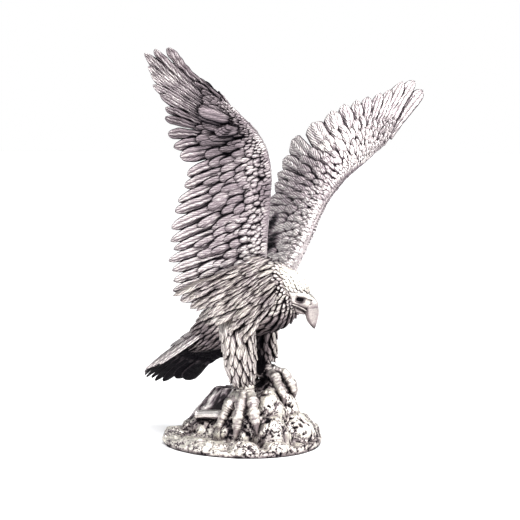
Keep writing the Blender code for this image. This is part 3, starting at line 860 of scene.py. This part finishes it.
def cape(forms, turned):
    """Six rows of (how many, start, length, width, rise), the later ones over the earlier ones."""
    guide = flank_guide(turned)
    _, normal, _ = skin(guide, np.array([0.5]), np.array([0.5]))
    sign = 1 if normal[0, 1] * turned < 0 else -1
    for count, start, length, wide, rise in (
        (13, 0.58, 0.44, 0.0074, 0.0028), (14, 0.42, 0.40, 0.0068, 0.0034), (15, 0.28, 0.36, 0.0062, 0.0040),
        (16, 0.16, 0.30, 0.0056, 0.0042), (17, 0.05, 0.26, 0.0050, 0.0040), (18, -0.04, 0.22, 0.0046, 0.0034),
    ):
        u = (np.arange(count) + 0.5 + random.uniform(-0.2, 0.2, count)) / count
        u = u if turned > 0 else 0.18 + 0.82 * u
        lay(forms, guide, u, start + random.uniform(-0.05, 0.05, count),
            length * random.uniform(0.75, 1.15, count), wide * random.uniform(0.8, 1.15, count), 0.0026,
            rise * random.uniform(0.75, 1.2, count), sign,
            drift=random.uniform(-0.6, 0.6, count) / count, stations=9, top=7, point=0.45, blunt=1.8,
            twist=random.uniform(-0.1, 0.4, count) * sign, covered=0.3, ridges=0.08, sink=0.0035,
            curl=random.uniform(-0.0004, 0.0016, count))


cape(body, 1)
cape(body, -1)
body.piece("body_feathers", PLUME_SILVER)

# %% [markdown]
# ## The head
#
# The head is a second loft, turned a little to the bird's left and bent down towards its landing place.
# The skull is shaped by adding and taking away soft bumps on the loft: a heavy brow, a
# hollow for the eye, a full cheek. The beak is a deep hook with a ridge on top, and the mouth is
# open by a crack.

# %% The skull, with its brow and eye sockets
HEAD_YAW = math.radians(20)
HEAD = (
    (-14, 161, 10, 10), (-6, 158, 14, 14), (2, 153, 15, 15), (9, 147, 14, 13.5), (15, 142, 11.5, 10),
    (20, 139, 8.5, 7.5), (23, 137, 5.5, 4.6),
)
HEAD_FORWARD = np.array((math.cos(HEAD_YAW), math.sin(HEAD_YAW), 0.0))
HEAD_SIDE = np.array((-math.sin(HEAD_YAW), math.cos(HEAD_YAW), 0.0))
HEAD_PLACE = np.array((51.0, 0.0, 0.0))


def on_head(forward, side, height):
    """A point from its distance ahead of the neck, out to the bird's left, and up, in table units."""
    forward, side, height = (np.asarray(value, float)[..., None] for value in (forward, side, height))
    return (HEAD_PLACE + HEAD_FORWARD * forward + HEAD_SIDE * side + np.array((0, 0, 1.0)) * height) * UNIT


def skull_guide(u, v):
    """The head's loft, pushed sideways by soft bumps: each is exp(-distance^2 / width^2)."""
    f, s, z, _ = loft(HEAD, u, v)

    def bump(at_f, at_s, at_z, wide):
        return np.exp(-((f - at_f) ** 2 + (np.abs(s) - at_s) ** 2 + (z - at_z) ** 2) / wide**2)

    brow = 2.2 * bump(12, 10.5, 148.5, 4.2) + 1.6 * bump(17.5, 8.5, 145.5, 3.2)
    socket = -3.4 * bump(13.5, 11.5, 143.5, 3.0) - 1.8 * bump(18.5, 9, 142, 2.6)
    cheek = 1.6 * bump(7, 13, 138, 5.0)
    return on_head(f, s + np.sign(s) * (brow + socket + cheek), z + 0.4 * brow)


def skull(forms):
    sign = outward_sign(skull_guide, on_head(5.0, 0.0, 150.0))
    forms.add(whole_rings(skull_guide, 96, 0.0, 1.0, 84)[:, ::sign], tarnish=0.12)
    return sign


# %% Beak, eyes and brow ridges
BEAK = (
    (12, 141, 8.2, 8.4), (17, 140.5, 7.4, 7.8), (21.4, 137.5, 6.4, 8.0), (22.9, 132.5, 5.4, 7.6),
    (23.4, 127.3, 4.5, 7.0), (24.1, 122.5, 3.4, 5.8), (25.3, 118.0, 2.1, 3.6), (26.4, 114.2, 0.5, 0.7),
)
LOWER_BEAK = (
    (3, 135, 7.0, 4.6), (8, 133.6, 5.8, 3.8), (12, 131.8, 4.6, 2.9), (15, 130.2, 3.4, 2.0),
    (17.2, 129.0, 2.0, 1.2), (18.4, 128.3, 0.4, 0.3),
)
GAPE = ((5, 12.6, 139.6), (9, 11.6, 138.0), (13, 9.6, 136.2), (17, 7.6, 134.0), (20, 6.2, 131.8))
BROW_LINE = ((3, 12.2, 151.5), (9, 12.8, 149.8), (15, 11.0, 147.2), (21, 7.6, 144.6), (26, 4.6, 142.4))


def ball(centre, radius, around=28, stations=18):
    """A sphere as rings between two poles: radius * (sin a cos t, sin a sin t, cos a)."""
    a, t = np.linspace(0.02, math.pi - 0.02, stations)[:, None], full_turn(around)[None]
    ring = np.stack([np.sin(a) * np.cos(t), np.sin(a) * np.sin(t), np.cos(a) + 0 * t], axis=-1)
    return centre + radius * ring


def rod(points, radii, around=12, flat=1.0):
    """A round bar along a line of points, with its own radius at each: centre + r (cos, flat * sin)."""
    path = np.asarray(points, float)
    forward = unit(np.gradient(path, axis=0))
    side = unit(np.cross(forward, (0.0, 0.0, 1.0)) + 1e-9)
    rise = np.cross(side, forward)
    turn = full_turn(around)[None, :, None]
    radii = np.asarray(radii, float)[:, None, None]
    return path[:, None] + radii * (np.cos(turn) * side[:, None] + flat * np.sin(turn) * rise[:, None])


def head_rod(forms, line, turned, radius, stain_and_shade, around=12, flat=1.0):
    """A rod along a line on one side of the head; turned is 1 for the left side and -1 for the right."""
    path = on_head(line[:, 0], line[:, 1] * turned, line[:, 2])
    forms.add(rod(path, radius * UNIT, around, flat)[:, ::-1], tarnish=stain_and_shade)


def beak_rings(table, stations, around, ridge, cut):
    """The loft with a sharper top: the section's height is |sin|^ridge, and its lower half is flattened
    by cut, so the upper beak gets a ridge and a cutting edge."""
    v = np.linspace(0, 1, stations)[:, None]
    f, s, z, turn = loft(table, np.arange(around) / around, v)
    line, rise = through(table, v), np.sin(turn)
    scale = np.abs(rise) ** (ridge - 1) * np.where(rise < 0, cut, 1)
    return line[..., 0] + (f - line[..., 0]) * scale, s, line[..., 1] + (z - line[..., 1]) * scale, v


def beak(forms):
    """The upper beak with its cere and nostrils, the lower beak, and two rods a side for the lips."""
    f, s, z, v = beak_rings(BEAK, 60, 40, 1.25, 0.82)
    cere = 0.9 * np.exp(-(((v - 0.335) / 0.025) ** 2)) - 0.5 * np.exp(-(((v - 0.385) / 0.014) ** 2))
    nostril = np.exp(-((f - 23.0) ** 2 / 2.6 + (z - 138.2) ** 2 / 0.9)) * (np.abs(s) > 2)
    rings = on_head(f + 0.6 * cere, s * (1 + 0.07 * cere - 0.22 * nostril), z + 0.35 * cere)
    cutting_edge = np.exp(-((np.sin(full_turn(40)) + 0.55) ** 2) / 0.05)
    # The cutting edge is painted darker, a painted shade along the beak's lower edge; the nostrils and the dip
    # behind the cere are darker too, and the beak darkens towards its tip.
    stain_and_shade = 0.40 + 0.8 * nostril + 0.5 * np.clip(-cere, 0, 1) + 0.25 * cutting_edge
    forms.add(rings, tarnish=stain_and_shade + 0.45 * blend(v, 0.75, 1.0))
    f, s, z, v = beak_rings(LOWER_BEAK, 30, 28, 1.0, 1.1)
    forms.add(on_head(f, s, z), tarnish=0.45)
    t = np.linspace(0, 1, 24)
    for turned in (1, -1):
        # The lower rod of each lip is painted nearly black, a painted shade inside the mouth's crack.
        for drop, size, stain_and_shade in ((0.0, 0.75, 0.25), (1.25, 0.55, 0.85)):
            lip = through(GAPE, t) - np.array((0.0, 0.6, 1.0)) * drop
            head_rod(forms, lip, turned, size * (0.35 + 0.65 * np.sin(math.pi * (t * 0.9 + 0.08))), stain_and_shade)


def eyes_and_brows(forms):
    """For each side: the eyeball in its socket, two lids as bent rods, and the hard brow ridge."""
    t = np.linspace(0, 1, 24)
    arc = math.pi * t
    for turned in (1, -1):
        forms.add(ball(on_head(13.6, 9.6 * turned, 143.6), 2.9 * UNIT)[:, ::-1], tarnish=0.55)
        for up in (1, -1):
            f = 13.6 - 3.6 * np.cos(arc)
            z = 143.3 + up * 2.5 * np.sin(arc) - 0.12 * (f - 13.6)
            lid = np.stack([f, 11.9 - 0.16 * (f - 10), z], axis=-1)
            head_rod(forms, lid, turned, 0.45 + 0.35 * np.sin(arc), 0.2)
        size = 0.5 + 2.2 * np.sin(math.pi * (t * 0.92 + 0.05)) ** 0.8
        head_rod(forms, through(BROW_LINE, t), turned, size, 0.08, 16, 0.8)


# %% Small feathers over the head and neck


def hackles(forms, sign):
    """Rows that start behind the beak and point back over the neck, longer towards the body."""
    for count, start, end, around, length, wide, rise in (
        (4, 0.283, 0.083, 24, 0.217, 1.25, 0.0022), (8, 0.70, 0.30, 28, 0.125, 1.20, 0.0013),
    ):
        u, v = rows(count, start, end, around)
        line_f, line_s, line_z, _ = loft(HEAD, u, v)
        keep = ~((line_f > 6.5) & (np.abs(line_s) > 6.0) & (line_z < 149) & (line_z > 124))
        u, v = u[keep], v[keep]
        lay(forms, skull_guide, u, v, -length * random.uniform(0.85, 1.15, len(u)), wide / around, 0.0010,
            rise, sign, sink=0.0005, of_span=True, point=0.35, blunt=1.5, covered=0.3, shaft=0.25)


head = Forms()
skull_sign = skull(head)
beak(head)
eyes_and_brows(head)
hackles(head, skull_sign)
head.piece("head", BODY_SILVER)

# %% [markdown]
# ## Legs and feet
#
# The thighs wear loose trousers of broad feathers that end in points over bare shanks. Each toe is a
# bent bar with swollen joints and a row of scutes, the hard plates on its back. At its end a curved
# talon bites the rock.

# %% Thighs
RIGHT_THIGH = (
    (7, -18, 132, 17, 12), (10.5, -24, 112, 16.5, 14), (13.5, -26, 92, 15.5, 13), (15, -26, 76, 14, 12),
    (18, -25, 59.5, 8.2, 8),
)
LEFT_THIGH = (
    (6, 16, 134, 16, 11), (7, 21, 116, 17, 12), (8.5, 21, 100, 15.5, 12.5), (10.5, 21, 87, 13, 11.5),
    (12.5, 21, 76, 10.5, 9.5),
)
RIGHT_SHANK = (
    (14, -25, 72, 8, 7.5), (19, -24, 60, 9.0, 8), (20, -24.5, 52, 9.5, 8.5), (20, -25, 44, 10.5, 9.5),
)
LEFT_SHANK = ((10, 20, 84, 9, 7), (11, 20, 74, 9.5, 7.5), (13, 21, 67, 10, 8), (15, 23, 60, 9.5, 9))


def leg_guide(table, inset):
    def guide(u, v):
        """Level ellipses from hip to ankle: u is the turn, v the way down."""
        u, v = grids(u, v)
        line = through(table, v) * UNIT
        turn = 2 * math.pi * u
        x = line[..., 0] + (line[..., 3] - inset) * np.cos(turn)
        y = line[..., 1] + (line[..., 4] - inset) * np.sin(turn)
        return np.stack([x, y, line[..., 2]], axis=-1)
    return guide


def trousers(forms, table, count, around, lowest):
    guide = leg_guide(table, 0.0034)
    hip = np.array(table[2][:3]) * UNIT
    sign = outward_sign(guide, hip)
    forms.add(whole_rings(guide, 40, 0.0, 1.0, 40)[:, ::sign], tarnish=0.75)
    u, v = rows(count, lowest, 0.04, around, loosen=0.4)
    lay(forms, guide, u, v, 0.27 * random.uniform(0.85, 1.2, len(u)), 1.35 / around, 0.0022, 0.0040, sign,
        of_span=True, drift=random.uniform(-0.3, 0.3, len(u)) / around, stations=9, top=7, point=0.35,
        blunt=1.7, curl=random.uniform(-0.0004, 0.0016, len(u)), twist=0.12, covered=0.35)


def shank_piece(forms, table):
    """The bare shank: a loft whose skin is cut by level grooves into plates."""
    guide = leg_guide(table, 0.0)
    rings = whole_rings(guide, 40, 0.0, 1.0, 60)
    centre = rings.mean(axis=1, keepdims=True)
    v = np.linspace(0, 1, 60)[:, None]
    plate = np.abs(np.sin(v * 22 + 0.5 * np.sin(v * 9)))
    swell = 1 + 0.05 * plate - 0.07 + 0.08 * value_noise(rings, 0.005, 44)
    sign = outward_sign(guide, centre[30, 0])
    forms.add((centre + (rings - centre) * swell[..., None])[:, ::sign], tarnish=0.5 * (plate < 0.25))


# %% Toes and talons
TOES = {
    "right_rear": ((16, -20, 47), (5, -16, 46), (-5, -14, 39), (-10, -13, 31), (-11, -13, 22)),
    "right_outer": ((17, -27, 49), (9, -34, 42), (4, -38, 31), (2, -41, 20), (2, -43, 9)),
    "right_middle": ((21, -28, 50), (24, -38, 45), (25, -45, 34), (25, -48, 22), (24, -50, 10)),
    "right_inner": ((24, -25, 51), (33, -34, 47), (39, -40, 38), (43, -43, 28), (45, -44, 18)),
    "left_inner": ((17, 20, 65), (27, 16, 62), (35, 14, 52), (39, 13, 43), (39, 12, 33)),
    "left_middle": ((18, 24, 66), (30, 28, 64), (38, 30, 55), (41, 30, 46), (40, 29, 36)),
    "left_outer": ((16, 26, 67), (24, 37, 62), (30, 43, 53), (32, 46, 44), (31, 46, 34)),
    "left_rear": ((13, 22, 64), (2, 22, 63), (-7, 22, 55), (-11, 22, 46), (-11, 22, 36)),
}
TOE_THICKNESS = {"right": 0.0057, "left": 0.0052}
JOINT_SPACING = 0.24
TALON_START = 0.62


def toe(forms, points, size):
    """The fleshy part runs to 0.79 of the line: radius * joint swelling * (1 + scutes on its back). The
    talon starts inside it, at TALON_START, and tapers as 1 - t^1.5 to a point."""
    place = np.linspace(0, 0.79, 120)
    path = through(points, place) * UNIT
    joint = (place - 0.05) * 2 * math.pi / JOINT_SPACING
    radius = size * (1.12 - 0.40 * place) * (1 + 0.11 * np.cos(joint))
    radius = radius * np.sqrt(np.clip(1 - ((place - 0.66) / 0.14).clip(0) ** 2, 0.02, 1))
    rings = rod(path, radius, 24)
    scutes = np.abs(np.sin(place * 50 + 1.6 * np.sin(place * 17)))[:, None]
    turn = full_turn(24)[None]
    upper = np.clip(np.sin(turn) + 0.45, 0, 1)
    pads = 0.10 * np.clip(-np.sin(turn), 0, 1) * np.cos(2 * joint[:, None])
    dent = 0.08 * value_noise(rings, 0.004, 41) + 0.08 * value_noise(rings, 0.0022, 42)
    swell = 1 + 0.09 * (scutes - 0.7) * upper + pads + dent
    rings = path[:, None] + (rings - path[:, None]) * swell[..., None]
    stain_and_shade = np.clip(0.9 - 1.8 * scutes, 0, 1) * upper - 4.0 * np.minimum(dent, 0) + 0.34
    forms.add(rings[:, ::-1], tarnish=stain_and_shade)
    place = np.linspace(TALON_START, 1.0, 36)
    radius = 0.70 * size * (1 - ((place - TALON_START) / (1 - TALON_START)) ** 1.5) + 0.0003
    forms.add(rod(through(points, place) * UNIT, radius, 16)[:, ::-1], tarnish=0.62)


legs = Forms()
trousers(legs, RIGHT_THIGH, 8, 12, 0.80)
trousers(legs, LEFT_THIGH, 7, 11, 0.84)
legs.piece("leg_feathers", PLUME_SILVER)
feet = Forms()
for shank in (RIGHT_SHANK, LEFT_SHANK):
    shank_piece(feet, shank)
for name, line in TOES.items():
    toe(feet, line, TOE_THICKNESS[name.split("_")[0]])
for middle, size in (((19, -27, 47), 9.5), ((16, 23, 62), 8.5)):
    feet.add(ball(np.array(middle) * UNIT, size * UNIT)[:, ::-1], tarnish=0.15)
feet.piece("feet", CLAW_SILVER)

# %% [markdown]
# ## The rock
#
# The rock is a height map over a round foot: the tallest of a few full domes decides the height at each
# place. Its skin is then pushed out along its own outward direction by rough noise and pushed in by
# cell noise, which gives the worm-eaten pits of a sea rock. Each spoke is re-spaced by its real length
# so that steep sides get as many points as flat tops.

# %% Domes, rim and skin of the rock
ROCK_RADIUS = 77 * UNIT
ROCK_WAVE = 5.5 * UNIT
RIM_HEIGHT = 0.0075
BOULDERS = (
    (15, 25, 36, 31, 61), (14, -15, 32, 32, 46), (33, -7, 20, 20, 56), (50, -26, 19, 18, 34),
    (50, 14, 24, 28, 30), (-30, -8, 34, 28, 25), (-24, 20, 28, 26, 40), (60, -36, 15, 14, 15),
    (-56, -30, 17, 13, 13), (0, -60, 30, 14, 12), (36, -56, 18, 13, 14), (-8, 58, 34, 20, 24),
    (50, 44, 18, 16, 14), (-52, 36, 24, 22, 20),
)

PITS = (
    (0.0032, 11, 0.0009, 0.14, 0.44, 0.45, 0.75), (0.0058, 21, 0.0016, 0.14, 0.42, 0.65, 0.90),
    (0.0120, 31, 0.0030, 0.12, 0.34, 0.70, 0.00),
)


def rock_height(x, y):
    """The tallest dome: top * (1 - d^2.6)^0.6, where d is the distance in half sizes."""
    height = np.full(np.shape(x), RIM_HEIGHT)
    for place_x, place_y, half_length, half_width, top in np.array(BOULDERS) * UNIT:
        away = np.sqrt(((x - place_x) / half_length) ** 2 + ((y - place_y) / half_width) ** 2)
        dome = np.maximum(0, 1 - away**2.6) ** 0.6
        height = np.maximum(height, RIM_HEIGHT * 0.8 + (top - RIM_HEIGHT) * dome)
    return height


def rock_rings(spokes, circles):
    """The height map as rings from the middle to the rim, re-spaced along each spoke, then the wall."""
    turn = full_turn(spokes)
    rim = ROCK_RADIUS + ROCK_WAVE * (np.cos(turn + 0.55) - 0.45 * np.sin(3 * turn - 0.37)) - 0.0012
    radius = rim[:, None] * np.linspace(0, 1, 400)
    x, y = radius * np.cos(turn)[:, None], radius * np.sin(turn)[:, None]
    steps = np.hypot(np.diff(radius, axis=1), 0.8 * np.diff(rock_height(x, y), axis=1))
    run = np.concatenate([np.zeros((spokes, 1)), np.cumsum(steps, axis=1)], axis=1)
    wanted = np.linspace(0.004, 1, circles)
    even = np.array([np.interp(wanted * run[k, -1], run[k], radius[k]) for k in range(spokes)]).T
    x, y = even * np.cos(turn), even * np.sin(turn)
    top = np.stack([x, y, rock_height(x, y)], axis=-1)
    down = np.linspace(1, 0, 9)[1:, None]
    flare = 1 + 0.012 * np.sin(down * 3)
    wall = np.stack([top[-1, :, 0] * flare, top[-1, :, 1] * flare, top[-1, :, 2] * down], axis=-1)
    return np.concatenate([top, wall])


def rock_piece():
    """Lumps and cracks all over, and three kinds of pits: (cell size, seed, depth, distance where a pit
    is deepest, distance where it ends, share of cells without one, tarnish)."""
    rings = rock_rings(480, 150)
    onward = np.roll(rings, -1, axis=1) - np.roll(rings, 1, axis=1)
    normal = unit(np.cross(np.gradient(rings, axis=0), onward))
    bent = rings + 0.0016 * vector_noise(rings, 0.004, 81)
    lumps, _ = cell_noise(rings, 0.0100, 51)
    crack = (1 - np.abs(value_noise(rings * np.array((1.0, 1.0, 0.6)), 0.0085, 61))) ** 9
    push = 0.0018 * rough_noise(rings, 0.014, 3) + 0.0020 * (0.55 - lumps) - 0.0013 * crack
    dark = 0.7 * crack
    for size, seed, depth, low, high, without, stain_and_shade in PITS:
        away, own = cell_noise(bent, size, seed)
        push = push - depth * (1 - blend(away, low, high)) * (own > without)
        dark = dark + stain_and_shade * (1 - blend(away, low + 0.02, high)) * (own > without)
    push = push * blend(rings[..., 2], 0.0, 0.004)
    moved = rings + normal * push[..., None]
    moved[..., 2] = np.maximum(moved[..., 2], 0.0)
    moved[-1, :, 2] = 0.0
    forms = Forms()
    forms.add(moved[:, ::-1], tarnish=np.clip(dark + np.clip(-push / 0.004, 0, 0.5), 0, 1)[:, ::-1])
    forms.piece("rock", ROCK_SILVER, uneven=0.0)


rock_piece()

# %% The broken ledge and the driftwood below it
LEDGE_TOP = ((-34, 0, 49), (-6, -7, 51), (-4, 22, 51), (-28, 26, 48))
LEDGE_FOOT = ((-59, -7, 17), (-10, -12, 20), (-6, 28, 20), (-52, 28, 15))
LOG_ENDS = ((-37, -24, 25), (-8, -22, 28))


def ledge(forms, wall_rings=60, lid_rings=23):
    """A block between two four-cornered rings, roughened like split slate: all its noise is drawn
    out to three times its width along the slope of the ledge's left edge. It is painted dark all over, a
    painted shade, and its top edges, corners and raised places are painted bright, painted highlights."""
    corner = np.linspace(0, 4, 240, endpoint=False)

    def ring(corners):
        closed = np.array(corners + (corners[0],), float)
        return np.stack([np.interp(corner, np.arange(5), closed[:, k]) for k in range(3)], axis=-1) * UNIT

    low, high = ring(LEDGE_FOOT), ring(LEDGE_TOP)
    middle = high.mean(axis=0)
    wall = low + (high - low) * np.linspace(0, 1, wall_rings)[:, None, None]
    lid = high + (middle - high) * np.linspace(0, 0.98, lid_rings + 1)[1:, None, None]
    rings = np.concatenate([wall, lid])
    out = unit(rings - middle + np.array((0, 0, 0.01)))
    x, y, z = (rings[..., k] for k in range(3))
    grain = np.stack([0.78 * x - 0.62 * z, y, 0.33 * (0.62 * x + 0.78 * z)], axis=-1)
    split = rough_noise(grain, 0.0048, 71)
    layers = np.abs(value_noise(grain, 0.0024, 77))
    chips, _ = cell_noise(grain, 0.0042, 91)
    push = 0.0017 * split - 0.0012 * layers + 0.0020 * (0.5 - chips)
    brow = np.exp(-(((np.arange(wall_rings + lid_rings) - wall_rings) / 1.3) ** 2))[:, None]
    brow = np.maximum(brow, 0.8 * np.exp(-(((corner * 30 + 15) % 30 - 15) / 1.3) ** 2))
    # Painted shade over the whole ledge and in its dips; painted highlights on the top edge and corners (brow)
    # and on raised places and chips.
    tarnish = 0.80 - 0.7 * brow - 0.7 * split + 0.8 * (chips - 0.5) + 0.7 * (layers - 0.3)
    forms.add(rings + out * push[..., None], tarnish=np.clip(tarnish, -0.1, 0.95))


def driftwood(forms):
    """A short broken branch: a bar with lengthwise furrows and a raised ring at its sawn end."""
    start, end = (np.array(point) * UNIT for point in LOG_ENDS)
    t = np.linspace(0, 1, 60)
    path = start + (end - start) * t[:, None]
    rings = rod(path, np.full(60, 0.0044), 36)
    furrow = 1 + 0.06 * np.sin(full_turn(36) * 9 + 2 * value_noise(path * 3, 0.01, 5)[:, None])
    collar = 1 + 0.16 * np.exp(-((t / 0.035) ** 2))
    rings = path[:, None] + (rings - path[:, None]) * (furrow * collar[:, None])[..., None]
    forms.add(rings[:, ::-1], tarnish=0.15)


wood = Forms()
ledge(wood)
driftwood(wood)
wood.piece("ledge_and_driftwood", WOOD_SILVER)

# %% [markdown]
# ## Studio, light and camera
#
# Polished metal shows the room more than itself, so the lights decide the picture. A large soft light
# above and to the right of the camera whitens the crown, the far wing and the rock; the left and the
# underside stay dim, so the near wing keeps its grey and the tail stays dark.

# %% Floor and world
bpy.ops.mesh.primitive_plane_add(size=60)
floor = bpy.context.object
floor.name = "studio_floor"
floor_paint = bpy.data.materials.new("pale_floor")
floor_paint.use_nodes = True
paint = floor_paint.node_tree.nodes["Principled BSDF"]
paint.inputs["Base Color"].default_value = (0.93, 0.93, 0.93, 1)
paint.inputs["Roughness"].default_value = 0.9
paint.inputs["Specular IOR Level"].default_value = 0.0
floor.data.materials.append(floor_paint)

world = bpy.data.worlds.new("studio")
bpy.context.scene.world = world
world.use_nodes = True
links, nodes = world.node_tree.links, world.node_tree.nodes
room = nodes["Background"]
room.inputs["Color"].default_value = (0.86, 0.88, 0.95, 1)
room.inputs["Strength"].default_value = 0.22
paper = nodes.new("ShaderNodeBackground")
paper.inputs["Color"].default_value = (1, 1, 1, 1)
seen = nodes.new("ShaderNodeLightPath")
either = nodes.new("ShaderNodeMixShader")
links.new(seen.outputs["Is Camera Ray"], either.inputs[0])
links.new(room.outputs[0], either.inputs[1])
links.new(paper.outputs[0], either.inputs[2])
links.new(either.outputs[0], nodes["World Output"].inputs["Surface"])
bpy.context.scene.view_settings.view_transform = "Standard"

# %% Camera: 32 degrees round to the bird's right, 5 degrees up, at 1.3 m
AZIMUTH, ELEVATION, DISTANCE = math.radians(32), math.radians(5), 1300 * UNIT
AIM_RIGHT, AIM_UP = 17.5 * UNIT, 177 * UNIT
SENSOR, PICTURE_WIDTH, FOCAL_LENGTH = 36, 520, 1340  # the first in mm, the others in pixels
right = Vector((math.cos(AZIMUTH), math.sin(AZIMUTH), 0))
back = Vector((right.y * math.cos(ELEVATION), -right.x * math.cos(ELEVATION), math.sin(ELEVATION)))
camera = bpy.data.objects.new("camera", bpy.data.cameras.new("camera"))
bpy.context.scene.collection.objects.link(camera)
camera.location = right * AIM_RIGHT + Vector((0, 0, AIM_UP)) + back * DISTANCE
camera.rotation_euler = (-back).to_track_quat("-Z", "Y").to_euler()
camera.data.sensor_width = SENSOR
camera.data.lens = SENSOR * FOCAL_LENGTH / PICTURE_WIDTH
bpy.context.scene.camera = camera

# %% Lights
LAMP_DISTANCE = 1.5
STATUE_MIDDLE = Vector((0, 0.03, 0.19))


def lamp(name, kind, direction, power, **values):
    """A light that shines from a direction, at LAMP_DISTANCE from the middle of the statue."""
    made = bpy.data.objects.new(name, bpy.data.lights.new(name, kind))
    made.data.energy = power
    for key, value in values.items():
        setattr(made.data, key, value)
    place = Vector(direction).normalized() * LAMP_DISTANCE
    made.location = place + STATUE_MIDDLE
    made.rotation_euler = (-place).to_track_quat("-Z", "Y").to_euler()
    bpy.context.scene.collection.objects.link(made)


lamp("key_light", "SUN", (0.75, -0.12, 1.15), 4.1, angle=math.radians(55))
lamp("side_light", "AREA", (1.0, 0.75, 0.55), 7, size=0.6)
lamp("front_light", "AREA", (0.25, -1.2, 0.45), 13, size=1.0)
lamp("back_light", "AREA", (-0.64, 0.25, 0.85), 5, size=1.0)
lamp("top_light", "AREA", (-0.1, -0.1, 1.0), 8, size=0.9)

# %% Note the solid box
print("solid box", [tuple(round(c * 1000, 1) for c in corner) for corner in solid_box])
